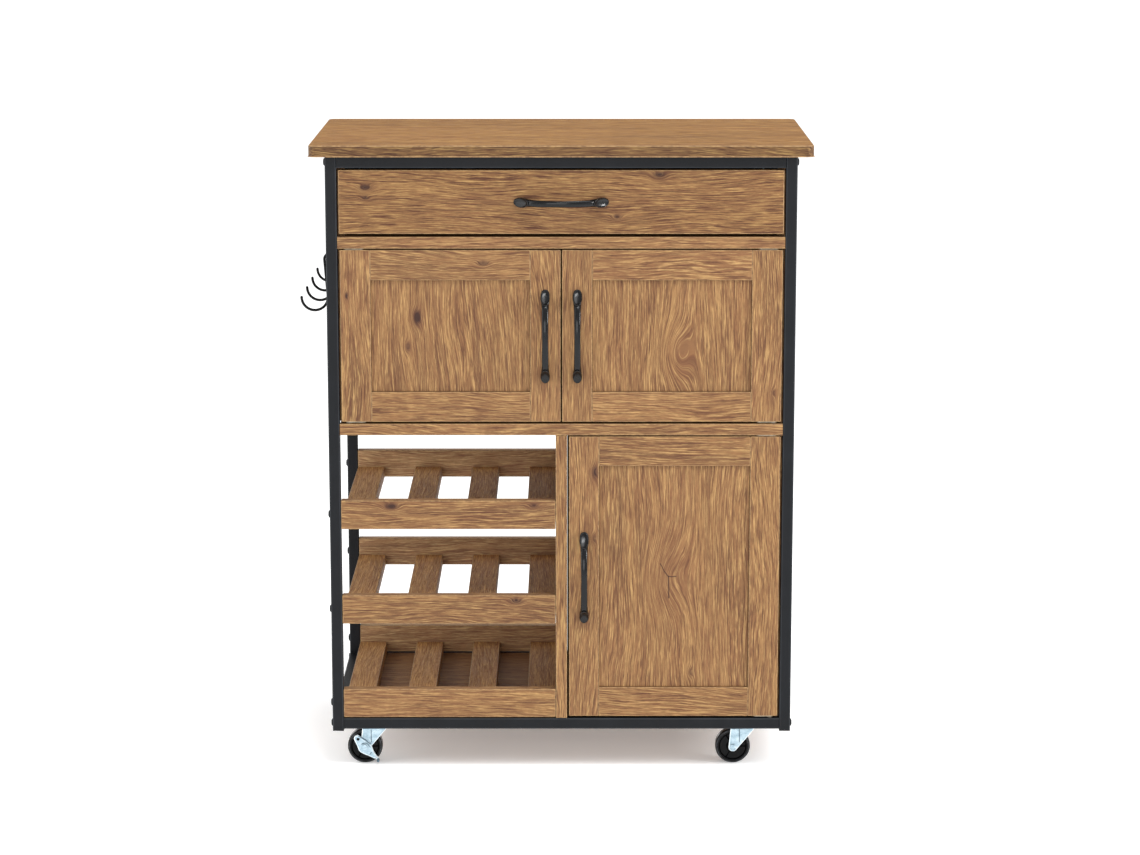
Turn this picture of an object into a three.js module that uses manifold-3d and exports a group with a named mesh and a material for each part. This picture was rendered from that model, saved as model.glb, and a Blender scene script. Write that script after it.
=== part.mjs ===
// Bar cart on wheels: a steel tube frame with wooden boards, a drawer, three doors,
// three slatted bottle racks, four swivel casters and four S-hooks on a side rod.
// Millimetres. +X is to the right, +Y to the back, +Z up; the floor is z = 0.
import * as THREE from 'three';
import { mergeVertices } from 'three/addons/utils/BufferGeometryUtils.js';
import Module from 'manifold-3d';

const wasm = await Module();
wasm.setup();

// ---- Driving dimensions ----
const HEIGHT = 900;
const TOP_WIDTH = 700;
const TOP_DEPTH = 400;
const TOP_CORNER_RADIUS = 11;
const TOP_EDGE_BEVEL = 1.5;
const BOARD = 16; // thickness of the wooden boards
const PANEL = 12; // thickness of the side panels and drawer sides
const PANEL_STEP = 2; // the side panels' outer faces lie inside the frame's by a tube less this
const PANEL_SETBACK = 21.5; // clears the sweep of the doors' hinged edges
const SHEET = 3; // thickness of the back panels and the drawer bottom
const GAP = 0.3; // clearance between pieces that touch
const BITE = 1; // overlap of shapes that are joined, or overshoot of one that cuts

const TUBE = 16; // side of the square frame tube
const TUBE_WALL = 1.2;
const FRAME_WIDTH = 656;
const FRAME_DEPTH = 378;
const POST_BOTTOM = 60;
const BOTTOM_RAIL_BASE = 61.5;

const DRAWER_SHELF_BASE = 755.7;
const CABINET_FLOOR_BASE = 491;
const RACK_BASES = [355, 217, 79];
const RACK_BOARD_HEIGHT = 41.5;
const SLAT_WIDTH = 41;
const SLAT_COUNT = 4;

const DRAWER_FRONT_BASE = 776;
const DRAWER_FRONT_TOP = 865;
const DRAWER_FRONT_HALF_WIDTH = 309.5;
const DRAWER_BOX_HEIGHTS = [781, 850];
const DRAWER_BOX_BACK = 140;
const DRAWER_BOTTOM_INSET = 4; // the drawer's floor sheet lies above its sides' lower edges
const RUNNER_THICKNESS = 12;
const RUNNER_HEIGHTS = [797, 833];
const RUNNER_YS = [-160, 150];
const RUNNER_WALL = 1.5;

const UPPER_DOOR_BASE = 510;
const UPPER_DOOR_TOP = 753.5;
const LOWER_DOOR_BASE = 80.7;
const LOWER_DOOR_TOP = 489;
const DOOR_OUTER_EDGE = 309; // distance of a door's hinged edge from the middle plane
const DOOR_PIVOT_INSET = 10; // from the hinged edge to the pivot pin
const DOOR_MEETING_EDGE = 1; // half of the gap between the two upper doors
const LOWER_DOOR_FREE_EDGE = 10.7;
const DOOR_FRAME_WIDTH = 42.5; // width of stiles and rails
const DOOR_RECESS = 4; // depth of the sunk panel at the front
const DOOR_BACK_RECESS = 3;
const DOOR_EDGE_CHAMFER = 1.5;
const PIN_RADIUS = 2;
const PIN_HOLE_RADIUS = 2.6;
const PIN_HOLE_DEPTH = 8;
const PIN_END_ROOM = 1; // between a pin's tip and the end of its hole
const HINGE_LEAF_LENGTH = 27.5;
const HINGE_LEAF_WIDTH = 11;
const HINGE_LEAF_THICKNESS = 1.2;
const HINGE_LEAF_END = 4; // from the pivot to the leaf's outer end

const HANDLE_LENGTH = 132.5;
const HANDLE_REACH = 27; // how far a handle stands out from its board
const HANDLE_INSET = 21.5; // from a door's free edge to its handle's middle line
const HANDLE_PAD_LENGTH = 20;
const HANDLE_PAD_WIDTH = 13;
const HANDLE_PAD_THICKNESS = 2.5;
const HANDLE_BAR_WIDTH = 9;
const HANDLE_BAR_THICKNESS = 5;
const HANDLE_OUTER_BOW = { foot: 9, rise: 3, shoulder: 22 }; // reach of its curve's control points
const HANDLE_INNER_BOW = { foot: 6, rise: 16.5, shoulder: 20 };

const WHEEL_RADIUS = 25.25;
const WHEEL_SIDES = 32;
const CASTER_X = 266;
const CASTER_Y = 145;
const CASTER_TRAIL = 18.3; // from the swivel axis to the axle
const CASTER_TOP = 61.2;
const PLATE_BASE = 59.2;
const PLATE_HALF_LENGTH = 30;
const PLATE_HALF_WIDTH = 21;
const RACE_RADIUS = 17;
const RACE_BASE = 56.6;
const FORK_NECK_RADIUS = 15;
const FORK_CROWN = [53, 55];
const FORK_CROWN_XS = [-21.6, 14.7]; // from the swivel axis
const FORK_LEG_INNER = 11.3;
const FORK_LEG = 2;
const FORK_TIP_RADIUS = 6.2;
const FORK_TIP_END = THREE.MathUtils.degToRad(-37.6); // where the leg's slanted edge meets its tip
const AXLE_RADIUS = 3;
const AXLE_HEAD_RADIUS = 5;
const AXLE_HEAD = 1.5;
const WHEEL_BORE_RADIUS = 3.6;
// Radius and half width of the wheel's profile, from its bore to its tread.
const WHEEL_PROFILE = [
  [WHEEL_BORE_RADIUS, 9.5], [8, 9.5], [8.6, 7.4], [19, 7.4],
  [20, 9], [22.8, 9], [24.6, 7.6], [WHEEL_RADIUS, 5],
];

// The brake lever, seen from the front with the axle at the origin.
const LEVER_THICKNESS = 1.6;
const LEVER_BOSS_RADIUS = 9.2;
const LEVER_ARM_END = [-9.7, 12.4];
const LEVER_ARM_RADIUS = 5.2;
const LEVER_HOLE_RADIUS = 2.2;
const LEVER_NECK = [15, -15];
const LEVER_NECK_RADIUS = 2.2;
const LEVER_PEDAL = [19.5, -18.2];
const LEVER_PEDAL_RADIUS = 2.1;
const PEDAL_REACH = 8;

const ROD_RADIUS = 4;
const ROD_X = -324;
const ROD_Z = 737.1;
const ROD_COLLAR_RADIUS = 7;
const ROD_COLLAR = 4;
const ROD_COLLAR_OFFSET = 2; // keeps the collars within the post's width
const HOOK_WIRE_RADIUS = 1.75;
const HOOK_LOOP_RADIUS = 7.8; // centre line of the loop over the rod
const HOOK_BEND_RADIUS = 18.5; // centre line of the lower bend
const HOOK_SHANK = 52;
const HOOK_TIP_RISE = 1.5; // straight end above the lower bend
const HOOK_LOOP_START = -0.5; // radians
const HOOK_LOOP_OFFSET = [-1, -1.4]; // from the rod's axis to the loop's middle, in X and Z
const HOOK_LEAN = THREE.MathUtils.degToRad(4.5);
const FIRST_HOOK_Y = -152;
const HOOK_SPACING = 94.5;
const HOOK_COUNT = 4;

// ---- Derived places ----
const TOP_UNDERSIDE = HEIGHT - BOARD;
const FRAME_X = FRAME_WIDTH / 2;
const FRAME_Y = FRAME_DEPTH / 2;
const INNER_X = FRAME_X - TUBE;
const INNER_Y = FRAME_Y - TUBE;
const FRAME_TOP = TOP_UNDERSIDE - GAP;
const TOP_RAIL_BASE = FRAME_TOP - TUBE;
const BOTTOM_RAIL_TOP = BOTTOM_RAIL_BASE + TUBE;
const CABINET_FLOOR_TOP = CABINET_FLOOR_BASE + BOARD;
const DIVIDER_X = BOARD / 2;
const PANEL_OUTER_X = INNER_X + PANEL_STEP;
const PANEL_INNER_X = PANEL_OUTER_X - PANEL;
const PANEL_FRONT_Y = -FRAME_Y + PANEL_SETBACK;
const PANEL_BACK_Y = INNER_Y - GAP;
const BACK_SHEET_Y = PANEL_BACK_Y - SHEET;
const PIVOT_X = DOOR_OUTER_EDGE - DOOR_PIVOT_INSET;
const PIVOT_Y = -FRAME_Y + BOARD / 2;

const FINISHES = {
  oak: { color: 0xac8250, roughness: 0.6, metalness: 0 },
  hardboard: { color: 0x8a6f50, roughness: 0.8, metalness: 0 },
  powder_coat: { color: 0x35373a, roughness: 0.55, metalness: 0.3 },
  handle_black: { color: 0x101012, roughness: 0.35, metalness: 0.5 },
  hook_black: { color: 0x0b0b0c, roughness: 0.4, metalness: 0.5 },
  zinc: { color: 0xd3dde2, roughness: 0.35, metalness: 0.9 },
  wheel_black: { color: 0x1b1c1e, roughness: 0.4, metalness: 0 },
};

// The cart's own middle plane is centred on its table top. The hooks and handles stand
// out on the left and the front, so the group is moved to centre the whole outline.
const cart = new THREE.Group();
const object = new THREE.Group();
object.add(cart);

function addMesh(parent, name, geometry, finish) {
  const mesh = new THREE.Mesh(geometry, new THREE.MeshStandardMaterial(FINISHES[finish]));
  mesh.name = name;
  parent.add(mesh);
  return mesh;
}

function boxGeometry([x0, x1], [y0, y1], [z0, z1]) {
  const geometry = new THREE.BoxGeometry(x1 - x0, y1 - y0, z1 - z0);
  return geometry.translate((x0 + x1) / 2, (y0 + y1) / 2, (z0 + z1) / 2);
}

function addBox(name, finish, xs, ys, zs) {
  return addMesh(cart, name, boxGeometry(xs, ys, zs), finish);
}

// Joins and cuts work on closed meshes whose corners are shared.
function toSolid(geometry) {
  const bare = geometry.clone();
  bare.deleteAttribute('normal');
  bare.deleteAttribute('uv');
  const merged = mergeVertices(bare);
  return new wasm.Manifold(new wasm.Mesh({
    numProp: 3,
    vertProperties: new Float32Array(merged.attributes.position.array),
    triVerts: new Uint32Array(merged.index.array),
  }));
}

function toGeometry(solid) {
  const mesh = solid.getMesh();
  const geometry = new THREE.BufferGeometry();
  geometry.setAttribute('position', new THREE.BufferAttribute(mesh.vertProperties, 3));
  geometry.setIndex(new THREE.BufferAttribute(mesh.triVerts, 1));
  return geometry;
}

function join(geometries) {
  return geometries.map(toSolid).reduce((whole, piece) => whole.add(piece));
}

function cut(solid, geometries) {
  return geometries.map(toSolid).reduce((whole, tool) => whole.subtract(tool), solid);
}

// A flat outline in X and Y, raised from z0 to z1.
function slabGeometry(points, [z0, z1]) {
  const shape = new THREE.Shape(points.map(([x, y]) => new THREE.Vector2(x, y)));
  const geometry = new THREE.ExtrudeGeometry(shape, { depth: z1 - z0, bevelEnabled: false });
  return geometry.translate(0, 0, z0);
}

// A flat outline in X and Z, given thickness from y0 to y1.
function plateGeometry(shape, [y0, y1], curveSegments = 6) {
  const options = { depth: y1 - y0, bevelEnabled: false, curveSegments };
  return new THREE.ExtrudeGeometry(shape, options).rotateX(Math.PI / 2).translate(0, y1, 0);
}

function uprightCylinder(radius, [z0, z1], x = 0, y = 0, sides = 24) {
  const geometry = new THREE.CylinderGeometry(radius, radius, z1 - z0, sides);
  return geometry.rotateX(Math.PI / 2).translate(x, y, (z0 + z1) / 2);
}

function crossCylinder(radius, [y0, y1], x = 0, z = 0, sides = 16) {
  const geometry = new THREE.CylinderGeometry(radius, radius, y1 - y0, sides);
  return geometry.translate(x, (y0 + y1) / 2, z);
}

// ---- Frame: hollow square tube, open at both ends ----
function tubeGeometry(length) {
  const half = TUBE / 2;
  const inner = half - TUBE_WALL;
  const square = (s) => [[-s, -s], [s, -s], [s, s], [-s, s]].map(([x, y]) => new THREE.Vector2(x, y));
  const shape = new THREE.Shape(square(half));
  shape.holes.push(new THREE.Path(square(inner)));
  return new THREE.ExtrudeGeometry(shape, { depth: length, bevelEnabled: false });
}

function addPost(name, x, y) {
  const post = addMesh(cart, name, tubeGeometry(FRAME_TOP - POST_BOTTOM), 'powder_coat');
  post.position.set(x, y, POST_BOTTOM);
}

function addCrossRail(name, y, base) {
  const length = 2 * (INNER_X - GAP);
  const rail = addMesh(cart, name, tubeGeometry(length), 'powder_coat');
  rail.rotation.y = Math.PI / 2;
  rail.position.set(-length / 2, y, base + TUBE / 2);
}

function addSideRail(name, x, base) {
  const length = 2 * (INNER_Y - GAP);
  const rail = addMesh(cart, name, tubeGeometry(length), 'powder_coat');
  rail.rotation.x = -Math.PI / 2;
  rail.position.set(x, -length / 2, base + TUBE / 2);
}

function addFrame() {
  const postX = FRAME_X - TUBE / 2;
  const postY = FRAME_Y - TUBE / 2;
  addPost('front_left_post', -postX, -postY);
  addPost('front_right_post', postX, -postY);
  addPost('rear_left_post', -postX, postY);
  addPost('rear_right_post', postX, postY);
  for (const [level, base] of [['top', TOP_RAIL_BASE], ['bottom', BOTTOM_RAIL_BASE]]) {
    addCrossRail(`${level}_front_rail`, -postY, base);
    addCrossRail(`${level}_rear_rail`, postY, base);
    addSideRail(`${level}_left_rail`, -postX, base);
    addSideRail(`${level}_right_rail`, postX, base);
  }
}

// ---- Boards ----
function addTableTop() {
  const halfX = TOP_WIDTH / 2;
  const halfY = TOP_DEPTH / 2;
  const flatX = halfX - TOP_CORNER_RADIUS;
  const flatY = halfY - TOP_CORNER_RADIUS;
  const quarter = Math.PI / 2;
  const shape = new THREE.Shape();
  shape.absarc(flatX, flatY, TOP_CORNER_RADIUS, 0, quarter, false);
  shape.absarc(-flatX, flatY, TOP_CORNER_RADIUS, quarter, 2 * quarter, false);
  shape.absarc(-flatX, -flatY, TOP_CORNER_RADIUS, 2 * quarter, 3 * quarter, false);
  shape.absarc(flatX, -flatY, TOP_CORNER_RADIUS, 3 * quarter, 4 * quarter, false);
  const geometry = new THREE.ExtrudeGeometry(shape, {
    depth: BOARD - 2 * TOP_EDGE_BEVEL,
    bevelThickness: TOP_EDGE_BEVEL,
    bevelSize: TOP_EDGE_BEVEL,
    bevelOffset: -TOP_EDGE_BEVEL,
    bevelSegments: 2,
    curveSegments: 6,
  });
  const top = addMesh(cart, 'table_top', geometry, 'oak');
  top.position.z = TOP_UNDERSIDE + TOP_EDGE_BEVEL;
}

// A blind hole that a door's pivot pin turns in.
function pinHole(x, boardBase) {
  const heights = [boardBase - BITE, boardBase + PIN_HOLE_DEPTH];
  return uprightCylinder(PIN_HOLE_RADIUS, heights, x, PIVOT_Y, 16);
}

// The front strip of each board fills the frame; behind it the board fits between the panels.
function addDrawerShelf() {
  const wide = INNER_X - GAP;
  const narrow = PANEL_INNER_X - GAP;
  const stepY = PANEL_FRONT_Y - GAP;
  const backY = BACK_SHEET_Y - GAP;
  const outline = [
    [-wide, -FRAME_Y], [wide, -FRAME_Y], [wide, stepY], [narrow, stepY],
    [narrow, backY], [-narrow, backY], [-narrow, stepY], [-wide, stepY],
  ];
  const slab = toSolid(slabGeometry(outline, [DRAWER_SHELF_BASE, DRAWER_SHELF_BASE + BOARD]));
  const holes = [-PIVOT_X, PIVOT_X].map((x) => pinHole(x, DRAWER_SHELF_BASE));
  addMesh(cart, 'drawer_shelf', toGeometry(cut(slab, holes)), 'oak');
}

function addCabinetFloor() {
  const wide = INNER_X - GAP;
  const narrow = PANEL_INNER_X - GAP;
  const stepY = PANEL_FRONT_Y - GAP;
  const outline = [
    [-wide, -FRAME_Y], [wide, -FRAME_Y], [wide, stepY], [narrow, stepY],
    [narrow, INNER_Y], [wide, INNER_Y], [wide, FRAME_Y], [-wide, FRAME_Y],
  ];
  const slab = toSolid(slabGeometry(outline, [CABINET_FLOOR_BASE, CABINET_FLOOR_TOP]));
  const geometry = toGeometry(cut(slab, [pinHole(PIVOT_X, CABINET_FLOOR_BASE)]));
  addMesh(cart, 'cabinet_floor', geometry, 'oak');
}

function addBoardsAndPanels() {
  addTableTop();
  addDrawerShelf();
  addCabinetFloor();
  const innerX = INNER_X - GAP;
  const innerY = INNER_Y - GAP;
  const railBand = [BOTTOM_RAIL_BASE, BOTTOM_RAIL_TOP];
  addBox('bottom_board', 'oak', [-innerX, innerX], [-innerY, innerY], railBand);

  const lowerBay = [BOTTOM_RAIL_TOP + GAP, CABINET_FLOOR_BASE - GAP];
  const upperBay = [CABINET_FLOOR_TOP + GAP, TOP_RAIL_BASE - GAP];
  const rightSide = [lowerBay[0], upperBay[1]];
  const sideY = [PANEL_FRONT_Y, PANEL_BACK_Y];
  const sheetY = [BACK_SHEET_Y, PANEL_BACK_Y];
  const sheetX = PANEL_INNER_X - GAP;
  addBox('divider', 'oak', [-DIVIDER_X, DIVIDER_X], [-FRAME_Y, FRAME_Y], lowerBay);
  addBox('left_side_panel', 'oak', [-PANEL_OUTER_X, -PANEL_INNER_X], sideY, upperBay);
  addBox('right_side_panel', 'oak', [PANEL_INNER_X, PANEL_OUTER_X], sideY, rightSide);
  addBox('upper_back_panel', 'hardboard', [-sheetX, sheetX], sheetY, upperBay);
  addBox('lower_back_panel', 'hardboard', [DIVIDER_X + GAP, sheetX], sheetY, lowerBay);
}

// ---- Bottle racks: a front and a back board joined by slats ----
function addRack(name, base) {
  const left = -INNER_X + GAP;
  const right = -DIVIDER_X - GAP;
  const pitch = (right - left - SLAT_WIDTH) / (SLAT_COUNT - 1);
  const boardHeights = [base, base + RACK_BOARD_HEIGHT];
  const pieces = [
    boxGeometry([left, right], [-FRAME_Y, -INNER_Y], boardHeights),
    boxGeometry([left, right], [INNER_Y, FRAME_Y], boardHeights),
  ];
  for (let i = 0; i < SLAT_COUNT; i += 1) {
    const x = left + i * pitch;
    const ys = [-INNER_Y - BITE, INNER_Y + BITE];
    pieces.push(boxGeometry([x, x + SLAT_WIDTH], ys, [base, base + BOARD]));
  }
  addMesh(cart, name, toGeometry(join(pieces)), 'oak');
}

// ---- Bow handle: its length runs along X and it stands out towards -Y ----
function handleGeometry() {
  const end = HANDLE_LENGTH / 2;
  const foot = end - HANDLE_PAD_LENGTH;
  const reach = HANDLE_REACH;
  const inner = reach - HANDLE_BAR_THICKNESS;
  const outerBow = HANDLE_OUTER_BOW;
  const innerBow = HANDLE_INNER_BOW;
  // Drawn with its reach upwards; each bow is mirrored about the middle.
  const shape = new THREE.Shape();
  shape.moveTo(-end, 0);
  shape.bezierCurveTo(-end + outerBow.foot, outerBow.rise, -end + outerBow.shoulder, reach, 0, reach);
  shape.bezierCurveTo(end - outerBow.shoulder, reach, end - outerBow.foot, outerBow.rise, end, 0);
  shape.lineTo(foot, 0);
  shape.bezierCurveTo(foot - innerBow.foot, innerBow.rise, foot - innerBow.shoulder, inner, 0, inner);
  shape.bezierCurveTo(-foot + innerBow.shoulder, inner, -foot + innerBow.foot, innerBow.rise, -foot, 0);
  const halfBar = HANDLE_BAR_WIDTH / 2;
  const options = { depth: HANDLE_BAR_WIDTH, bevelEnabled: false, curveSegments: 8 };
  const bow = new THREE.ExtrudeGeometry(shape, options);
  bow.translate(0, 0, -halfBar).rotateX(Math.PI);
  const halfPad = HANDLE_PAD_WIDTH / 2;
  const pads = [[-end, -foot], [foot, end]].map((xs) => (
    boxGeometry(xs, [-HANDLE_PAD_THICKNESS, 0], [-halfPad, halfPad])));
  return toGeometry(join([bow, ...pads]));
}

function addHandle(name, x, z, upright) {
  const handle = addMesh(cart, name, handleGeometry(), 'handle_black');
  handle.position.set(x, -FRAME_Y - GAP, z);
  if (upright) {
    handle.rotation.y = Math.PI / 2;
  }
}

// ---- Drawer ----
function addDrawer() {
  const outer = PANEL_INNER_X - 2 * GAP - RUNNER_THICKNESS;
  const inner = outer - PANEL;
  const front = -INNER_Y + GAP;
  const back = DRAWER_BOX_BACK - PANEL;
  const width = DRAWER_FRONT_HALF_WIDTH;
  const between = [-inner + GAP, inner - GAP];
  const sideYs = [front, DRAWER_BOX_BACK];
  const heights = DRAWER_BOX_HEIGHTS;
  const bottomBase = heights[0] + DRAWER_BOTTOM_INSET;
  const bottomHeights = [bottomBase, bottomBase + SHEET];
  const frontHeights = [DRAWER_FRONT_BASE, DRAWER_FRONT_TOP];
  addBox('drawer_front', 'oak', [-width, width], [-FRAME_Y, -INNER_Y], frontHeights);
  addBox('drawer_left_side', 'oak', [-outer, -inner], sideYs, heights);
  addBox('drawer_right_side', 'oak', [inner, outer], sideYs, heights);
  addBox('drawer_back', 'oak', between, [back, DRAWER_BOX_BACK], heights);
  addBox('drawer_bottom', 'hardboard', between, [front, back - GAP], bottomHeights);
  addHandle('drawer_handle', 0, (DRAWER_FRONT_BASE + DRAWER_FRONT_TOP) / 2, false);
}

// A runner is a channel along the side panel, open towards the drawer.
function addRunner(name, side) {
  const web = PANEL_INNER_X - GAP;
  const lip = web - RUNNER_THICKNESS;
  const [low, high] = RUNNER_HEIGHTS;
  const outline = [
    [web, low], [web, high], [lip, high], [lip, high - RUNNER_WALL],
    [web - RUNNER_WALL, high - RUNNER_WALL], [web - RUNNER_WALL, low + RUNNER_WALL],
    [lip, low + RUNNER_WALL], [lip, low],
  ];
  const shape = new THREE.Shape(outline.map(([x, z]) => new THREE.Vector2(side * x, z)));
  addMesh(cart, name, plateGeometry(shape, RUNNER_YS), 'zinc');
}

// ---- Doors: stiles and rails round a sunk panel, one solid board each ----
function doorGeometry(x0, x1, [z0, z1]) {
  const front = -FRAME_Y;
  const back = -INNER_Y;
  const c = DOOR_EDGE_CHAMFER;
  const outline = [
    [x0 + c, front], [x1 - c, front], [x1, front + c], [x1, back - c],
    [x1 - c, back], [x0 + c, back], [x0, back - c], [x0, front + c],
  ];
  const panelX = [x0 + DOOR_FRAME_WIDTH, x1 - DOOR_FRAME_WIDTH];
  const panelZ = [z0 + DOOR_FRAME_WIDTH, z1 - DOOR_FRAME_WIDTH];
  const recesses = [
    boxGeometry(panelX, [front - BITE, front + DOOR_RECESS], panelZ),
    boxGeometry(panelX, [back - DOOR_BACK_RECESS, back + BITE], panelZ),
  ];
  return toGeometry(cut(toSolid(slabGeometry(outline, [z0, z1])), recesses));
}

// A leaf on the door's top edge with a pin that turns in the board above.
function hingeGeometry(side, doorTop, boardBase) {
  const base = doorTop + GAP;
  const outerEnd = PIVOT_X + HINGE_LEAF_END;
  const ends = [side * outerEnd, side * (outerEnd - HINGE_LEAF_LENGTH)];
  const halfWidth = HINGE_LEAF_WIDTH / 2;
  const leaf = boxGeometry(
    [Math.min(...ends), Math.max(...ends)],
    [PIVOT_Y - halfWidth, PIVOT_Y + halfWidth],
    [base, base + HINGE_LEAF_THICKNESS],
  );
  const pinTop = boardBase + PIN_HOLE_DEPTH - PIN_END_ROOM;
  const pin = uprightCylinder(PIN_RADIUS, [base, pinTop], side * PIVOT_X, PIVOT_Y, 16);
  return toGeometry(join([leaf, pin]));
}

// side is -1 for a door hinged on the left and 1 for one hinged on the right.
function addDoor(name, side, freeEdge, heights, boardAbove) {
  const hinged = side * DOOR_OUTER_EDGE;
  const free = side * freeEdge;
  const handleX = side * (freeEdge + HANDLE_INSET);
  const [z0, z1] = heights;
  const geometry = doorGeometry(Math.min(hinged, free), Math.max(hinged, free), heights);
  addMesh(cart, name, geometry, 'oak');
  addMesh(cart, `${name}_hinge`, hingeGeometry(side, z1, boardAbove), 'zinc');
  addHandle(`${name}_handle`, handleX, (z0 + z1) / 2, true);
}

// ---- Casters, built about their own swivel axis; the wheel trails towards -X ----
function casterPlateGeometry() {
  const xs = [-PLATE_HALF_LENGTH, PLATE_HALF_LENGTH];
  const ys = [-PLATE_HALF_WIDTH, PLATE_HALF_WIDTH];
  const race = uprightCylinder(RACE_RADIUS, [RACE_BASE, PLATE_BASE + BITE]);
  return toGeometry(join([boxGeometry(xs, ys, [PLATE_BASE, CASTER_TOP]), race]));
}

// leverSide is -1 or 1 where a brake lever sits on that end of the axle, and 0 without one.
function forkGeometry(leverSide) {
  const axleX = -CASTER_TRAIL;
  const axleZ = WHEEL_RADIUS;
  const [crownBase, crownTop] = FORK_CROWN;
  const leg = new THREE.Shape();
  leg.absarc(axleX, axleZ, FORK_TIP_RADIUS, Math.PI, 2 * Math.PI + FORK_TIP_END, false);
  leg.lineTo(FORK_CROWN_XS[1], crownTop);
  leg.lineTo(FORK_CROWN_XS[0], crownTop);
  const outer = FORK_LEG_INNER + FORK_LEG;
  const leverRoom = LEVER_THICKNESS + 2 * GAP;
  const frontEnd = -outer - (leverSide < 0 ? leverRoom : 0);
  const backEnd = outer + (leverSide > 0 ? leverRoom : 0);
  return toGeometry(join([
    plateGeometry(leg, [-outer, -FORK_LEG_INNER]),
    plateGeometry(leg, [FORK_LEG_INNER, outer]),
    boxGeometry(FORK_CROWN_XS, [-outer, outer], [crownBase, crownTop]),
    uprightCylinder(FORK_NECK_RADIUS, [crownBase + BITE, RACE_BASE - GAP]),
    crossCylinder(AXLE_RADIUS, [frontEnd - BITE, backEnd + BITE], axleX, axleZ),
    crossCylinder(AXLE_HEAD_RADIUS, [frontEnd - AXLE_HEAD, frontEnd], axleX, axleZ),
    crossCylinder(AXLE_HEAD_RADIUS, [backEnd, backEnd + AXLE_HEAD], axleX, axleZ),
  ]));
}

// The wheel's corners lie just outside its radius, so that it stands on a flat.
function wheelGeometry() {
  const corner = 1 / Math.cos(Math.PI / WHEEL_SIDES);
  const back = WHEEL_PROFILE.map(([r, y]) => new THREE.Vector2(r * corner, y));
  const front = WHEEL_PROFILE.map(([r, y]) => new THREE.Vector2(r * corner, -y)).reverse();
  const profile = [...front, ...back, front[0]].reverse();
  return new THREE.LatheGeometry(profile, WHEEL_SIDES, Math.PI / WHEEL_SIDES);
}

// Outline of a flat link: two round ends joined by their straight tangents.
function linkShape([x0, z0], r0, [x1, z1], r1) {
  const along = Math.atan2(z1 - z0, x1 - x0);
  const lean = Math.acos((r0 - r1) / Math.hypot(x1 - x0, z1 - z0));
  const shape = new THREE.Shape();
  shape.absarc(x0, z0, r0, along + lean, along - lean + 2 * Math.PI, false);
  shape.absarc(x1, z1, r1, along - lean, along + lean, false);
  return shape;
}

// The lever turns on the axle: a boss, a short arm above and a pedal arm below.
function leverGeometry(side) {
  const near = FORK_LEG_INNER + FORK_LEG + GAP;
  const far = near + LEVER_THICKNESS;
  const ys = side < 0 ? [-far, -near] : [near, far];
  const pedalYs = side < 0 ? [-far - PEDAL_REACH, -near] : [near, far + PEDAL_REACH];
  const throughYs = [-far - BITE, far + BITE];
  const hub = [0, 0];
  const solid = cut(join([
    plateGeometry(linkShape(hub, LEVER_BOSS_RADIUS, LEVER_ARM_END, LEVER_ARM_RADIUS), ys),
    plateGeometry(linkShape(hub, LEVER_BOSS_RADIUS, LEVER_NECK, LEVER_NECK_RADIUS), ys),
    plateGeometry(linkShape(LEVER_NECK, LEVER_NECK_RADIUS, LEVER_PEDAL, LEVER_PEDAL_RADIUS), ys),
    crossCylinder(LEVER_NECK_RADIUS, pedalYs, ...LEVER_PEDAL, 12),
  ]), [
    crossCylinder(WHEEL_BORE_RADIUS, throughYs),
    crossCylinder(LEVER_HOLE_RADIUS, throughYs, ...LEVER_ARM_END, 12),
  ]);
  return toGeometry(solid);
}

function addCaster(corner, x, y, leverSide) {
  const caster = new THREE.Group();
  caster.position.set(x, y, 0);
  cart.add(caster);
  addMesh(caster, `${corner}_caster_plate`, casterPlateGeometry(), 'zinc');
  addMesh(caster, `${corner}_caster_fork`, forkGeometry(leverSide), 'zinc');
  const wheel = addMesh(caster, `${corner}_wheel`, wheelGeometry(), 'wheel_black');
  wheel.position.set(-CASTER_TRAIL, 0, WHEEL_RADIUS);
  if (leverSide !== 0) {
    const lever = addMesh(caster, `${corner}_brake_lever`, leverGeometry(leverSide), 'zinc');
    lever.position.set(-CASTER_TRAIL, 0, WHEEL_RADIUS);
  }
}

// ---- Hook rod between the left posts, and the S-hooks on it ----
function addHookRod() {
  const end = INNER_Y - GAP;
  const collarX = ROD_X + ROD_COLLAR_OFFSET;
  const rod = join([
    crossCylinder(ROD_RADIUS, [-end, end], ROD_X, ROD_Z),
    crossCylinder(ROD_COLLAR_RADIUS, [-end, -end + ROD_COLLAR], collarX, ROD_Z),
    crossCylinder(ROD_COLLAR_RADIUS, [end - ROD_COLLAR, end], collarX, ROD_Z),
  ]);
  addMesh(cart, 'hook_rod', toGeometry(rod), 'powder_coat');
}

// The wire's centre line, with the middle of the loop over the rod at the origin.
function hookGeometry() {
  const loop = HOOK_LOOP_RADIUS;
  const bend = HOOK_BEND_RADIUS;
  const line = new THREE.Path();
  line.absarc(0, 0, loop, HOOK_LOOP_START, Math.PI, false);
  line.lineTo(-loop, -HOOK_SHANK);
  line.absarc(-loop - bend, -HOOK_SHANK, bend, 0, -Math.PI, true);
  line.lineTo(-loop - 2 * bend, -HOOK_SHANK + HOOK_TIP_RISE);
  const steps = 36;
  const centreLine = new THREE.CatmullRomCurve3(
    line.getSpacedPoints(steps).map(({ x, y }) => new THREE.Vector3(x, 0, y)),
  );
  const section = new THREE.Shape();
  section.absarc(0, 0, HOOK_WIRE_RADIUS, 0, 2 * Math.PI, false);
  return new THREE.ExtrudeGeometry(section, { extrudePath: centreLine, steps, curveSegments: 5 });
}

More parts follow.
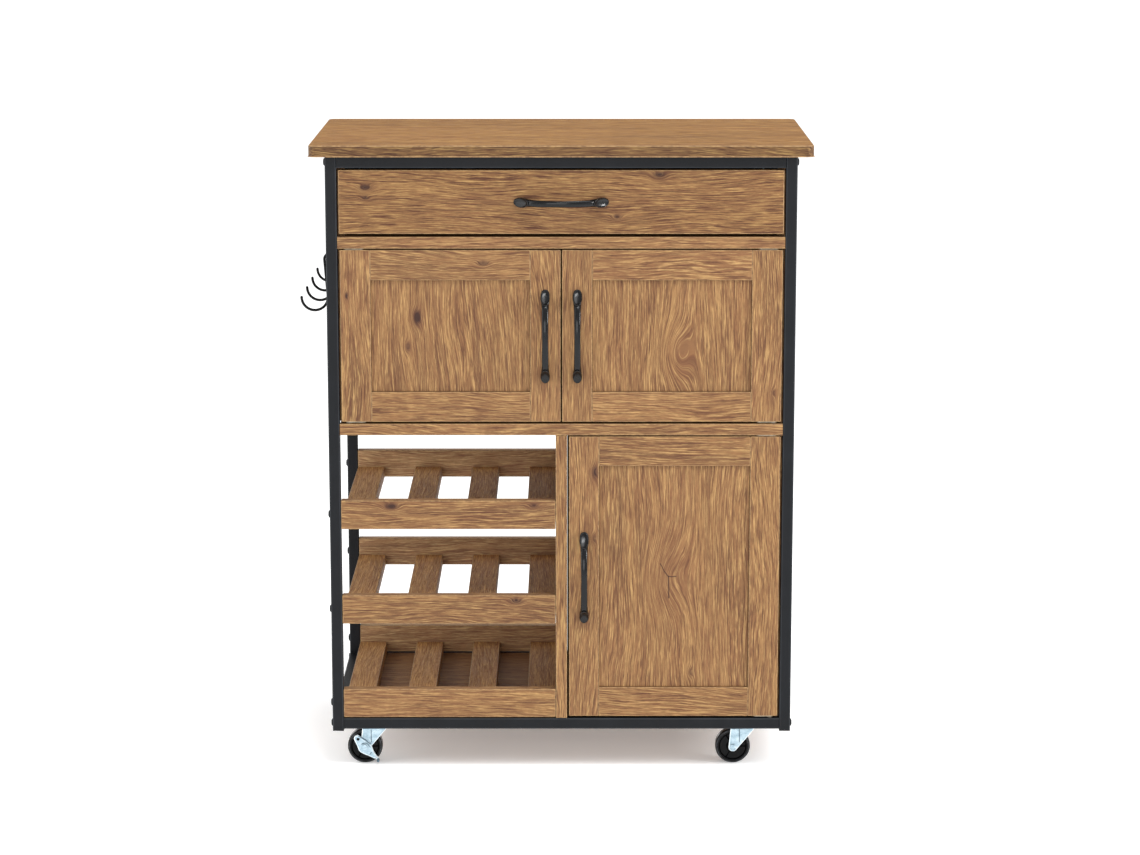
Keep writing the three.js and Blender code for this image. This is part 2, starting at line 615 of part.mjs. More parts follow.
function addHooks() {
  // The loop hangs from the top of the rod.
  const loopX = ROD_X + HOOK_LOOP_OFFSET[0];
  const loopZ = ROD_Z + HOOK_LOOP_OFFSET[1];
  for (let i = 0; i < HOOK_COUNT; i += 1) {
    const hook = addMesh(cart, `hook_${i + 1}`, hookGeometry(), 'hook_black');
    hook.position.set(loopX, FIRST_HOOK_Y + i * HOOK_SPACING, loopZ);
    hook.rotation.y = -HOOK_LEAN;
  }
}

addFrame();
addBoardsAndPanels();
RACK_BASES.forEach((base, i) => addRack(`bottle_rack_${i + 1}`, base));
addDrawer();
addRunner('left_drawer_runner', -1);
addRunner('right_drawer_runner', 1);
const upperHeights = [UPPER_DOOR_BASE, UPPER_DOOR_TOP];
const lowerHeights = [LOWER_DOOR_BASE, LOWER_DOOR_TOP];
addDoor('upper_left_door', -1, DOOR_MEETING_EDGE, upperHeights, DRAWER_SHELF_BASE);
addDoor('upper_right_door', 1, DOOR_MEETING_EDGE, upperHeights, DRAWER_SHELF_BASE);
addDoor('lower_door', 1, LOWER_DOOR_FREE_EDGE, lowerHeights, CABINET_FLOOR_BASE);
addCaster('front_left', -CASTER_X, -CASTER_Y, -1);
addCaster('front_right', CASTER_X, -CASTER_Y, 0);
addCaster('rear_left', -CASTER_X, CASTER_Y, 0);
addCaster('rear_right', CASTER_X, CASTER_Y, 1);
addHookRod();
addHooks();

// Put the origin on the floor under the middle of the whole outline.
const extent = new THREE.Box3().setFromObject(cart, true);
const middle = extent.getCenter(new THREE.Vector3());
cart.position.set(-middle.x, -middle.y, 0);

export default object;
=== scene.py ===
import math

import bmesh
import bpy
from mathutils import Matrix, Vector


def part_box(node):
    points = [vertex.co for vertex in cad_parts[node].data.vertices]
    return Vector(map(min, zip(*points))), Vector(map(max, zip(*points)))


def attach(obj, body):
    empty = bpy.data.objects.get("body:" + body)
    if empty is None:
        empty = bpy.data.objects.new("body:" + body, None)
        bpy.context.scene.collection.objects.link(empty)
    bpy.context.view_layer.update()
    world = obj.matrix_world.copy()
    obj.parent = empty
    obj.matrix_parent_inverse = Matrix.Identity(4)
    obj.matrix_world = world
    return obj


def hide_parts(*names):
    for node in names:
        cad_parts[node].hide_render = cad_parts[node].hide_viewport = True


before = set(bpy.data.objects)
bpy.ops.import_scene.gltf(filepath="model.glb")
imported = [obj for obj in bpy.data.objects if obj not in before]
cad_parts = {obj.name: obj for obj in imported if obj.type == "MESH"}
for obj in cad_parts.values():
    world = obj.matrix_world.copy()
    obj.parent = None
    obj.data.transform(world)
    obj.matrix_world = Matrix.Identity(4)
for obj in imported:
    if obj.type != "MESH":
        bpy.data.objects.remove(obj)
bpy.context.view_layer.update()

# ---- Sizes ----
BOARD_EDGE = 0.0011  # rounding of board edges
THIN_EDGE = 0.0005
TOP_CORNER = 0.011
TUBE_CORNER = 0.0018
TUBE_INNER_CORNER = 0.0007
TUBE_WALL = 0.0012
CLEARANCE = 0.0003

STILE = 0.0425  # width of a door's stiles and rails
PANEL_SINK = 0.004  # depth of a door's panel behind its frame
PANEL_SINK_BACK = 0.003
PANEL_SLIT = 0.0003

BOLT_RADIUS = 0.0053
BOLT_HEIGHT = 0.0023
SCREW_RADIUS = 0.0037
SCREW_HEIGHT = 0.0016
HANDLE_CENTRES = 0.096

HANDLE_HALF_LENGTH = 0.06625
HANDLE_REACH = 0.027
HANDLE_BAR = 0.005  # thickness of the bar at its middle
HANDLE_FOOT = 0.02  # length of a foot on the board
SPOON_SLOPE = math.radians(38)
SPOON_CENTRE = (0.0556, 0.009)  # along the handle and out from the board
SPOON_HALF_LENGTH = 0.0132
SPOON_HALF_WIDTH = 0.0066
SPOON_SEAT = 0.0009  # from the spoon's middle plane down to the bar

LEAF_SHEET = 0.0012
LEAF_EDGE = 0.0003
PIN_RADIUS = 0.0019
PIVOT_INSET = 0.004

AXLE_HEIGHT = 0.02525
TRAIL = 0.0183  # from the swivel axis to the axle
FORK_TIP = 0.0062
FORK_CROWN_LEFT = -0.0216
FORK_CROWN_RIGHT = 0.0147
FORK_CROWN_TOP = 0.055
FORK_SHEET = 0.002
FORK_HALF_WIDTH = 0.0133
FORK_BEND = 0.0032
FORK_TIP_END = math.radians(-37.6)
FORK_CREASE = 0.0093  # from the axle towards the swivel
FORK_CREASE_SLOPE = 0.045
FORK_CREASE_BASE = 0.0325
FORK_CREASE_HALF = 0.0006

# Bands of the wheel with a material of their own, as distances from the axle at the depth of
# the rim's face: a paler ring at the rim's edge is a painted highlight, and the near-black web
# floor is painted shade in the grooves between the raised sectors. The middle of the tread
# falls in the first band as well.
RIM_DEPTH = 0.0077
RIM_HIGHLIGHT_BAND = (0.0228, 0.0241)
WEB_SHADE_BAND = (0.0083, 0.0194)

LEVER_SHEET = 0.0016
LEVER_RELIEF = 0.0004

ROD_RADIUS = 0.004
WIRE_RADIUS = 0.0019
LOOP_RADIUS = 0.0078
BEND_RADIUS = 0.0185
SHANK = 0.052
TIP_RISE = 0.0015
LOOP_START = -0.5
HOOK_LEAN = math.radians(4.5)

CAMERA_PLACE = (0.0209, -4.5218, 1.3414)
CAMERA_PITCH = math.radians(11.07)
CAMERA_LENS = 99.2
CAMERA_SHIFT_Y = 0.006

CORNERS = ("front_left", "front_right", "rear_left", "rear_right")
LEVER_SIDES = {"front_left": -1, "rear_right": 1}
DOORS = {"upper_left_door": -1, "upper_right_door": 1, "lower_door": 1}
HOOKS = ("hook_1", "hook_2", "hook_3", "hook_4")


# ---- Materials ----
def srgb(red, green, blue):
    """A display colour of 0 to 255 as the linear colour that a shader takes."""
    linear = [((c / 255 + 0.055) / 1.055) ** 2.4 for c in (red, green, blue)]
    return (*linear, 1.0)


class Graph:
    """A material and short ways to add nodes to it. An input is a socket or a plain value."""

    def __init__(self, name):
        self.material = bpy.data.materials.new(name)
        self.material.use_nodes = True
        self.tree = self.material.node_tree
        self.shader = self.tree.nodes["Principled BSDF"]

    def put(self, socket, value):
        if isinstance(value, bpy.types.NodeSocket):
            self.tree.links.new(value, socket)
        else:
            socket.default_value = value

    def add(self, kind, inputs, output=0, **settings):
        node = self.tree.nodes.new(kind)
        for key, value in settings.items():
            setattr(node, key, value)
        for key, value in inputs.items():
            self.put(node.inputs[key], value)
        return node.outputs[output]

    def surface(self, **inputs):
        for key, value in inputs.items():
            self.put(self.shader.inputs[key.replace("_", " ")], value)

    def place(self):
        return self.add("ShaderNodeTexCoord", {}, output="Object")

    def split(self, vector):
        node = self.tree.nodes.new("ShaderNodeSeparateXYZ")
        self.put(node.inputs[0], vector)
        return list(node.outputs)

    def join(self, *parts):
        return self.add("ShaderNodeCombineXYZ", dict(enumerate(parts)))

    def math(self, operation, *values):
        return self.add("ShaderNodeMath", dict(enumerate(values)), operation=operation)

    def vector(self, operation, *values):
        return self.add("ShaderNodeVectorMath", dict(enumerate(values)), operation=operation)

    def noise(self, vector, scale, detail=3.0, roughness=0.55):
        stretched = self.vector("MULTIPLY", vector, scale)
        settings = {"Vector": stretched, "Scale": 1.0, "Detail": detail, "Roughness": roughness}
        return self.add("ShaderNodeTexNoise", settings)

    def remap(self, value, low, high, to_low=0.0, to_high=1.0):
        return self.add("ShaderNodeMapRange", dict(enumerate((value, low, high, to_low, to_high))))

    def ramp(self, value, stops):
        node = self.tree.nodes.new("ShaderNodeValToRGB")
        self.put(node.inputs[0], value)
        elements = node.color_ramp.elements
        while len(elements) < len(stops):
            elements.new(0.5)
        for element, (position, colour) in zip(elements, stops):
            element.position = position
            element.color = colour
        return node.outputs[0]

    def blend(self, factor, first, second, mode="MIX"):
        inputs = {0: factor, 6: first, 7: second}
        return self.add("ShaderNodeMix", inputs, output=2, data_type="RGBA", blend_type=mode)

    def bump(self, height, distance, strength=1.0):
        inputs = {"Height": height, "Distance": distance, "Strength": strength}
        return self.add("ShaderNodeBump", inputs)


def distance_to_line(g, x, z, start, end):
    """Distance in a board's face from the point (x, z) to a short straight crack."""
    span = (end[0] - start[0], end[1] - start[1])
    square = span[0] ** 2 + span[1] ** 2
    from_x = g.math("SUBTRACT", x, start[0])
    from_z = g.math("SUBTRACT", z, start[1])
    dot = g.math("MULTIPLY_ADD", from_x, span[0] / square, g.math("MULTIPLY", from_z, span[1] / square))
    share = g.remap(dot, 0.0, 1.0)
    off_x = g.math("MULTIPLY_ADD", share, -span[0], from_x)
    off_z = g.math("MULTIPLY_ADD", share, -span[1], from_z)
    return g.math("SQRT", g.math("MULTIPLY_ADD", off_x, off_x, g.math("MULTIPLY", off_z, off_z)))


# The table top's face is painted lighter than the same oak (painted light) and its edge band darker (painted
# shade).
TOP_PAINTED_LIGHT = (1.29, 1.23, 0.9)
TOP_EDGE_PAINTED_SHADE = (0.55, 0.53, 0.46)
DRAWER_TONE = (0.82, 0.79, 0.73)
# The slats and the racks' back boards are painted lighter: painted light in the racks' shaded insides.
SLAT_PAINTED_LIGHT = (1.64, 1.66, 1.5)
RACK_BACK_PAINTED_LIGHT = (1.72, 1.98, 2.45)
OAK_SHADE = srgb(100, 69, 43)
OAK_BASE = srgb(119, 84, 52)
OAK_SUNNY = srgb(138, 103, 64)
OAK_LINE = srgb(82, 50, 34)
OAK_GLEAM = srgb(170, 136, 87)
OAK_RED = srgb(108, 70, 46)
OAK_KNOT = srgb(52, 31, 24)
OAK_CRACK_SHADE = srgb(48, 27, 22)


def oak(name, axes, seed, knots=(), cracks=(), wave=1.0, tone_and_painted_light=None, contrast=1.0, sheen=0.25):
    """Rustic oak. axes names the axis along the grain, the one across it in the face, and the
    depth. knots are (along, across, radius, darkness); a large pale one is a cathedral figure."""
    g = Graph(name)
    parts = g.split(g.place())
    along, across, depth = (parts["XYZ".index(axis)] for axis in axes)
    shift = (seed * 1.71, seed * 2.33, seed * 3.17)
    seeded = g.vector("ADD", g.join(along, across, depth), shift)

    # Slow noise and knots push the grain sideways.
    slow = g.noise(seeded, (2.2, 8.0, 8.0), 2.0)
    quick = g.noise(seeded, (10.0, 44.0, 44.0), 2.0)
    grain = g.math("MULTIPLY_ADD", slow, 0.06 * wave, across)
    grain = g.math("MULTIPLY_ADD", quick, 0.005 * wave, grain)
    core, halo = None, None
    for knot_along, knot_across, radius, darkness in knots:
        da = g.math("MULTIPLY", g.math("SUBTRACT", along, knot_along), 1 / (2.0 * radius))
        dc = g.math("MULTIPLY", g.math("SUBTRACT", across, knot_across), 1 / radius)
        aside = g.math("ADD", dc, 0.45)
        square = g.math("MULTIPLY_ADD", da, da, g.math("MULTIPLY", aside, aside))
        swell = g.math("EXPONENT", g.math("MULTIPLY", square, -1.0))
        grain = g.math("MULTIPLY_ADD", swell, (1.2 + 0.25 * darkness) * radius, grain)
        square = g.math("MULTIPLY_ADD", da, da, g.math("MULTIPLY", dc, dc))
        wide = g.math("EXPONENT", g.math("MULTIPLY", square, -0.9))
        tight = g.math("EXPONENT", g.math("MULTIPLY", square, -1.9))
        tight = g.math("MULTIPLY", tight, darkness)
        wide = g.math("MULTIPLY", wide, 0.3 + 0.4 * darkness)
        core = tight if core is None else g.math("MAXIMUM", core, tight)
        halo = wide if halo is None else g.math("MAXIMUM", halo, wide)
    flow = g.vector("ADD", g.join(along, grain, depth), shift)

    bands = g.noise(flow, (2.2, 80.0, 80.0), 4.0, 0.65)
    patches = g.noise(flow, (3.4, 13.0, 13.0), 2.0)
    lines = g.noise(flow, (24.0, 560.0, 560.0), 3.0, 0.62)
    gleams = g.noise(g.vector("ADD", flow, (7.7, 7.7, 7.7)), (30.0, 800.0, 800.0), 3.0, 0.62)
    fibres = g.noise(flow, (110.0, 760.0, 760.0), 2.0, 0.6)
    veins = g.noise(flow, (3.5, 170.0, 170.0), 2.0, 0.5)
    base = g.math("MULTIPLY_ADD", bands, 0.6, g.math("MULTIPLY", patches, 0.4))
    colour = g.ramp(base, [(0.36, OAK_SHADE), (0.5, OAK_BASE), (0.64, OAK_SUNNY)])
    colour = g.blend(g.remap(patches, 0.5, 0.68, 0.0, 0.5), colour, OAK_RED)
    colour = g.blend(g.remap(gleams, 0.49, 0.63, 0.0, 0.7 * contrast), colour, OAK_GLEAM)
    colour = g.blend(g.remap(lines, 0.51, 0.63, 0.0, 0.8 * contrast), colour, OAK_LINE)
    colour = g.blend(g.remap(veins, 0.62, 0.74, 0.0, 0.4 * contrast), colour, OAK_LINE)
    speck = g.remap(fibres, 0.35, 0.65, 0.86, 1.13)
    colour = g.blend(1.0, colour, g.join(speck, speck, speck), "MULTIPLY")
    if core is not None:
        ragged = g.remap(lines, 0.35, 0.6, 0.7, 1.5)
        colour = g.blend(g.math("MINIMUM", g.math("MULTIPLY", halo, ragged), 0.8), colour, OAK_RED)
        colour = g.blend(g.math("MINIMUM", g.math("MULTIPLY", core, ragged), 1.0), colour, OAK_KNOT)
    # Cracks are dark lines in the colour: painted shade inside the split wood.
    for start, end in cracks:
        wobble = g.math("MULTIPLY_ADD", quick, 0.006, -0.003)
        line_x = g.math("ADD", parts[0], wobble)
        line_z = g.math("ADD", parts[2], wobble)
        near = distance_to_line(g, line_x, line_z, start, end)
        colour = g.blend(g.remap(near, 0.0003, 0.0013, 0.85, 0.0), colour, OAK_CRACK_SHADE)
    # The colour scale paints light on the table top's face and in the racks, paints shade on the top's edge
    # band, and gives the drawer front its own colour.
    if tone_and_painted_light:
        colour = g.blend(1.0, colour, (*tone_and_painted_light, 1.0), "MULTIPLY")
    relief = g.math("SUBTRACT", gleams, lines)
    g.surface(Base_Color=colour, Roughness=g.remap(lines, 0.35, 0.65, 0.5, 0.7))
    g.surface(Specular_IOR_Level=sheen, Normal=g.bump(relief, 0.0005, 0.5))
    return g.material


def oak_edge():
    """The paler rounding along the edges of the boards."""
    g = Graph("oak_edge")
    edge_mottle = g.noise(g.place(), (160.0, 160.0, 160.0), 3.0)
    colour = g.ramp(edge_mottle, [(0.35, srgb(112, 82, 52)), (0.6, srgb(150, 118, 76))])
    g.surface(Base_Color=colour, Roughness=g.remap(edge_mottle, 0.3, 0.7, 0.6, 0.48))
    return g.material


def hardboard():
    g = Graph("hardboard_brown")
    place = g.place()
    fibres = g.noise(place, (900.0, 900.0, 900.0), 3.0, 0.7)
    clouds = g.noise(place, (14.0, 14.0, 14.0), 2.0)
    mixed = g.math("MULTIPLY_ADD", fibres, 0.8, g.math("MULTIPLY", clouds, 0.2))
    colour = g.ramp(mixed, [(0.38, srgb(104, 78, 54)), (0.62, srgb(160, 128, 94))])
    g.surface(Base_Color=colour, Roughness=g.remap(fibres, 0.3, 0.7, 0.85, 0.7))
    g.surface(Normal=g.bump(fibres, 0.0004, 0.6))
    return g.material


def powder(name, dark, light):
    """Powder coat: a fine orange-peel skin with faint cloudiness."""
    g = Graph(name)
    place = g.place()
    peel = g.noise(place, (1500.0, 1500.0, 1500.0), 2.0)
    clouds = g.noise(place, (22.0, 22.0, 22.0), 2.0)
    mixed = g.math("MULTIPLY_ADD", peel, 0.5, g.math("MULTIPLY", clouds, 0.5))
    colour = g.ramp(mixed, [(0.35, dark), (0.65, light)])
    g.surface(Base_Color=colour, Metallic=0.0, Specular_IOR_Level=0.17)
    g.surface(Roughness=g.remap(peel, 0.3, 0.7, 0.38, 0.56), Normal=g.bump(peel, 0.00025, 0.5))
    return g.material


def gloss_black(name, dark, light, smooth, rough, coat, specular=0.12):
    """Painted or moulded black with a soft shine and slight wear."""
    g = Graph(name)
    place = g.place()
    wear = g.noise(place, (70.0, 70.0, 70.0), 4.0, 0.65)
    grit = g.noise(place, (1800.0, 1800.0, 1800.0), 2.0)
    g.surface(Base_Color=g.ramp(wear, [(0.35, dark), (0.68, light)]), Coat_Weight=coat, Coat_Roughness=0.12)
    g.surface(Roughness=g.remap(wear, 0.3, 0.7, smooth, rough), Normal=g.bump(grit, 0.0001, 0.4))
    g.surface(Specular_IOR_Level=specular)
    return g.material


def zinc(name, dark, middle, light):
    """Bluish zinc plate with faint cloudy spangle and fine rolling lines."""
    g = Graph(name)
    place = g.place()
    spangle = g.noise(place, (190.0, 190.0, 190.0), 3.0, 0.6)
    lines = g.noise(place, (240.0, 240.0, 2600.0), 2.0)
    mixed = g.math("MULTIPLY_ADD", spangle, 0.7, g.math("MULTIPLY", lines, 0.3))
    colour = g.ramp(mixed, [(0.34, dark), (0.52, middle), (0.68, light)])
    g.surface(Base_Color=colour, Metallic=0.75, Roughness=g.remap(mixed, 0.35, 0.65, 0.4, 0.26))
    g.surface(Normal=g.bump(lines, 0.0001, 0.5))
    return g.material


def hinge_steel():
    """Dull yellowish plate of the hinge leaves."""
    g = Graph("hinge_steel")
    clouds = g.noise(g.place(), (150.0, 150.0, 150.0), 3.0, 0.6)
    g.surface(Base_Color=g.ramp(clouds, [(0.35, srgb(150, 140, 122)), (0.65, srgb(188, 178, 160))]))
    g.surface(Metallic=0.6, Roughness=g.remap(clouds, 0.3, 0.7, 0.6, 0.45))
    return g.material


def steel():
    g = Graph("bright_steel")
    lines = g.noise(g.place(), (2200.0, 90.0, 2200.0), 3.0)
    g.surface(Base_Color=g.ramp(lines, [(0.35, srgb(150, 150, 150)), (0.65, srgb(205, 204, 200))]))
    g.surface(Metallic=0.95, Roughness=g.remap(lines, 0.3, 0.7, 0.42, 0.28))
    g.surface(Normal=g.bump(lines, 0.0001, 0.5))
    return g.material


EDGE_OAK = oak_edge()
HARDBOARD = hardboard()
FRAME_PAINT = powder("powder_coat_black", srgb(12, 14, 17), srgb(19, 21, 25))
# Paler powder coat for the tubes' rounded corners: a painted highlight.
FRAME_CORNER_HIGHLIGHT = powder("powder_coat_painted_corner_highlight", srgb(28, 30, 33), srgb(42, 45, 49))
HANDLE_PAINT = gloss_black("handle_paint", srgb(5, 6, 7), srgb(12, 13, 15), 0.2, 0.3, 0.3)
HOOK_PAINT = gloss_black("hook_paint", srgb(6, 6, 7), srgb(13, 13, 14), 0.38, 0.55, 0.0)
WHEEL_PLASTIC = gloss_black("wheel_plastic", srgb(2, 3, 4), srgb(7, 8, 9), 0.14, 0.24, 0.05, 0.1)
WHEEL_GROOVE_SHADE = gloss_black("wheel_painted_groove_shade", srgb(0, 0, 1), srgb(2, 2, 2), 0.5, 0.7, 0.0, 0.02)
WHEEL_RIM_HIGHLIGHT = gloss_black("wheel_rim_painted_highlight", srgb(16, 17, 18), srgb(70, 73, 76), 0.16, 0.3, 0.4)
# Black plastic of the post caps and the catch; the same black also fills the brake lever's hole as painted
# shade.
BLACK_PLASTIC_AND_HOLE_SHADE = gloss_black("cap_plastic_and_painted_hole_shade", srgb(16, 16, 17), srgb(28, 28, 30), 0.45, 0.6, 0.0)
ZINC = zinc("zinc_plate", srgb(138, 164, 178), srgb(168, 190, 202), srgb(196, 214, 223))
# Near-white zinc on the rims of the fork and the brake lever: a painted highlight.
ZINC_RIM_HIGHLIGHT = zinc("zinc_painted_rim_highlight", srgb(214, 226, 232), srgb(228, 238, 242), srgb(240, 246, 248))
# Darker zinc for the fork's crease and the lever's raised marks, where it is painted shade; the pedal's knob
# is drawn in it too.
ZINC_SHADE = zinc("zinc_painted_shade_and_knob", srgb(62, 78, 88), srgb(84, 102, 113), srgb(104, 122, 132))
HINGE_STEEL = hinge_steel()
STEEL = steel()


# ---- Meshes ----
def add_piece(name, bm, materials, body, nodes=(), sharp=35.0):
    """Turns bm into a shaded piece that rides on body and stands for the CAD nodes given."""
    bmesh.ops.recalc_face_normals(bm, faces=bm.faces)
    mesh = bpy.data.meshes.new(name)
    bm.to_mesh(mesh)
    bm.free()
    for material in materials:
        mesh.materials.append(material)
    mesh.shade_smooth()
    mesh.set_sharp_from_angle(angle=math.radians(sharp))
    piece = bpy.data.objects.new(name, mesh)
    bpy.context.scene.collection.objects.link(piece)
    weighted = piece.modifiers.new("even_normals", "WEIGHTED_NORMAL")
    weighted.keep_sharp = True
    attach(piece, body)
    if nodes:
        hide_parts(*nodes)
    return piece


def round_edges(bm, edges, radius, segments, material):
    settings = {"offset": radius, "segments": segments, "profile": 0.5, "material": material}
    bmesh.ops.bevel(bm, geom=edges, affect="EDGES", **settings)


def rounded_box(bm, low, high, radius=BOARD_EDGE, face=0, edge=1, segments=3):
    """A closed block with rounded edges. face and edge are material numbers."""
    low, high = Vector(low), Vector(high)
    size = high - low
    matrix = Matrix.Translation((low + high) / 2) @ Matrix.Diagonal((*size, 1.0))
    made = bmesh.ops.create_cube(bm, size=1.0, matrix=matrix)
    corners = made["verts"]
    for side in {f for v in corners for f in v.link_faces}:
        side.material_index = face
    sharp = list({e for v in corners for e in v.link_edges})
    round_edges(bm, sharp, radius, segments, edge)


def prism(bm, outline, depth, matrix, radius=0.0, face=0, edge=1, segments=3):
    """A flat outline raised by depth along its own Z, with rounded rims, moved by matrix."""
    rings = [[bm.verts.new((x, y, z)) for x, y in outline] for z in (0.0, depth)]
    count = len(outline)
    faces = [bm.faces.new(rings[0]), bm.faces.new(rings[1])]
    for i in range(count):
        j = (i + 1) % count
        faces.append(bm.faces.new((rings[0][i], rings[0][j], rings[1][j], rings[1][i])))
    for made in faces:
        made.material_index = face
    verts = [*rings[0], *rings[1]]
    bmesh.ops.transform(bm, matrix=matrix, verts=verts)
    if radius:
        rims = list({e for made in faces[:2] for e in made.edges})
        round_edges(bm, rims, radius, segments, edge)


def lathe(bm, profile, matrix, sides=32, face=0, hex_rings=()):
    """Turns (radius, height) points about Z. The profile starts and ends on the axis, or closes
    on itself. Rings numbered in hex_rings are hexagons, such as a socket's wall."""
    closed = profile[0][0] > 0
    rings = []
    for number, (radius, height) in enumerate(profile):
        if radius == 0:
            rings.append([bm.verts.new(matrix @ Vector((0.0, 0.0, height)))])
            continue
        ring = []
        for i in range(sides):
            turn = 2 * math.pi * i / sides
            reach = radius
            if number in hex_rings:
                reach /= math.cos((turn + math.pi / 6) % (math.pi / 3) - math.pi / 6)
            point = Vector((reach * math.cos(turn), reach * math.sin(turn), height))
            ring.append(bm.verts.new(matrix @ point))
        rings.append(ring)
    pairs = list(zip(rings, rings[1:]))
    if closed:
        pairs.append((rings[-1], rings[0]))
    for low, high in pairs:
        for i in range(sides):
            j = (i + 1) % sides
            corners = [low[i % len(low)], low[j % len(low)], high[j % len(high)], high[i % len(high)]]
            bm.faces.new(list(dict.fromkeys(corners))).material_index = face


def sweep(bm, path, radius, sides=16, face=0):
    """A round wire along a path in an XZ plane, with domed ends."""
    rings = []
    last = len(path) - 1
    for i, point in enumerate(path):
        ahead = (path[min(i + 1, last)] - path[max(i - 1, 0)]).normalized()
        beside = Vector((0.0, 1.0, 0.0))
        rings.append((point, ahead, beside.cross(ahead), beside, radius))
    dome = [(share, math.sqrt(1 - share * share)) for share in (0.95, 0.6, 0.25)]
    start, end = rings[0], rings[-1]
    head = [(start[0] - start[1] * radius * out, *start[1:4], radius * narrow) for out, narrow in dome]
    tail = [(end[0] + end[1] * radius * out, *end[1:4], radius * narrow) for out, narrow in reversed(dome)]
    loops = []
    turns = [2 * math.pi * k / sides for k in range(sides)]
    for centre, _, up, beside, width in [*head, *rings, *tail]:
        points = [centre + width * (up * math.cos(t) + beside * math.sin(t)) for t in turns]
        loops.append([bm.verts.new(point) for point in points])
    for low, high in zip(loops, loops[1:]):
        for k in range(sides):
            j = (k + 1) % sides
            bm.faces.new((low[k], low[j], high[j], high[k])).material_index = face
    bm.faces.new(loops[0]).material_index = face
    bm.faces.new(loops[-1]).material_index = face


def rounded_rectangle(half_x, half_y, radius, steps=5):
    points = []
    for quarter, (sx, sy) in enumerate(((1, 1), (-1, 1), (-1, -1), (1, -1))):
        for i in range(steps + 1):
            turn = (quarter + i / steps) * math.pi / 2
            x = sx * (half_x - radius) + radius * math.cos(turn)
            points.append((x, sy * (half_y - radius) + radius * math.sin(turn)))
    return points


def facing(axis, centre):
    """A matrix whose Z runs along the signed axis, such as -Y, and whose origin is centre."""
    sign = -1.0 if axis[0] == "-" else 1.0
    forward = Vector([sign if letter == axis[1] else 0.0 for letter in "XYZ"])
    turn = forward.to_track_quat("Z", "X" if axis[1] == "Y" else "Y")
    return Matrix.Translation(centre) @ turn.to_matrix().to_4x4()


def screw(bm, centre, axis, radius=SCREW_RADIUS, height=SCREW_HEIGHT, face=0):
    """A domed head with a hexagon socket, standing on a face whose outward axis is given."""
    socket = 0.45 * radius
    profile = [
        (0.0, 0.0), (radius * 0.98, 0.0), (radius, height * 0.3), (radius * 0.93, height * 0.62),
        (radius * 0.78, height * 0.86), (radius * 0.6, height * 0.97), (radius * 0.53, height),
        (socket, height * 0.98), (socket, height * 0.35), (0.0, height * 0.3),
    ]
    lathe(bm, profile, facing(axis, centre), sides=24, face=face, hex_rings=(7, 8))


# ---- Boards ----
def add_board(node, wood, body="frame", radius=BOARD_EDGE, edge=None):
    bm = bmesh.new()
    rounded_box(bm, *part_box(node), radius)
    add_piece(f"{node}_piece", bm, [wood, edge or EDGE_OAK], body, [node])


def spot(node, share_x, share_z):
    """A point in a board's front face, as shares of its width and height."""
    low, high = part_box(node)
    return low.x + share_x * (high.x - low.x), low.z + share_z * (high.z - low.z)


def add_table_top():
    low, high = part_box("table_top")
    middle = (low + high) / 2
    half = (high - low) / 2
    outline = rounded_rectangle(half.x, half.y, TOP_CORNER, steps=8)
    bm = bmesh.new()
    matrix = Matrix.Translation((middle.x, middle.y, low.z))
    prism(bm, outline, high.z - low.z, matrix, radius=0.0013, edge=1)
    # The side faces take the darker edge-band oak: painted shade on the top's edges.
    for made in bm.faces:
        if abs(made.normal.z) < 0.1 and made.material_index == 0:
            made.material_index = 2
    top = oak("oak_painted_light_top", "XYZ", 3.1, wave=0.5, tone_and_painted_light=TOP_PAINTED_LIGHT, contrast=0.9, sheen=0.1)
    band = oak("oak_painted_shade_top_edge", "XZY", 4.7, wave=1.2, tone_and_painted_light=TOP_EDGE_PAINTED_SHADE, contrast=1.5)
    add_piece("table_top_piece", bm, [top, EDGE_OAK, band], "frame", ["table_top"])


def stepped_board(node, wood, notch_front, rear_wide):
    """A shelf whose front strip fills the frame and whose middle fits between the side panels."""
    low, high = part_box(node)
    left_panel, right_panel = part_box("left_side_panel"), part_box("right_side_panel")
    step = left_panel[0].y - CLEARANCE
    left = left_panel[1].x + CLEARANCE if notch_front else low.x
    right = right_panel[0].x - CLEARANCE
    rear = right_panel[1].y + CLEARANCE
    outline = [(low.x, low.y), (high.x, low.y), (high.x, step), (right, step)]
    if rear_wide:
        outline += [(right, rear), (high.x, rear), (high.x, high.y), (low.x, high.y)]
    else:
        outline += [(right, high.y), (left, high.y), (left, step), (low.x, step)]
    bm = bmesh.new()
    prism(bm, outline, high.z - low.z, Matrix.Translation((0.0, 0.0, low.z)), radius=BOARD_EDGE * 0.8)
    add_piece(f"{node}_piece", bm, [wood, EDGE_OAK], "frame", [node], sharp=50.0)


def add_boards():
    add_table_top()
    stepped_board("drawer_shelf", oak("oak_drawer_shelf", "XZY", 5.3, contrast=1.1), True, False)
    stepped_board("cabinet_floor", oak("oak_cabinet_floor", "XZY", 6.9, contrast=1.1), False, True)
    add_board("bottom_board", oak("oak_bottom", "XYZ", 8.2, contrast=0.8))
    add_board("divider", oak("oak_divider", "ZXY", 9.4, contrast=1.1))
    add_board("left_side_panel", oak("oak_left_panel", "ZYX", 10.6))
    add_board("right_side_panel", oak("oak_right_panel", "ZYX", 11.8))
    for node in ("upper_back_panel", "lower_back_panel"):
        add_board(node, HARDBOARD, radius=THIN_EDGE, edge=HARDBOARD)


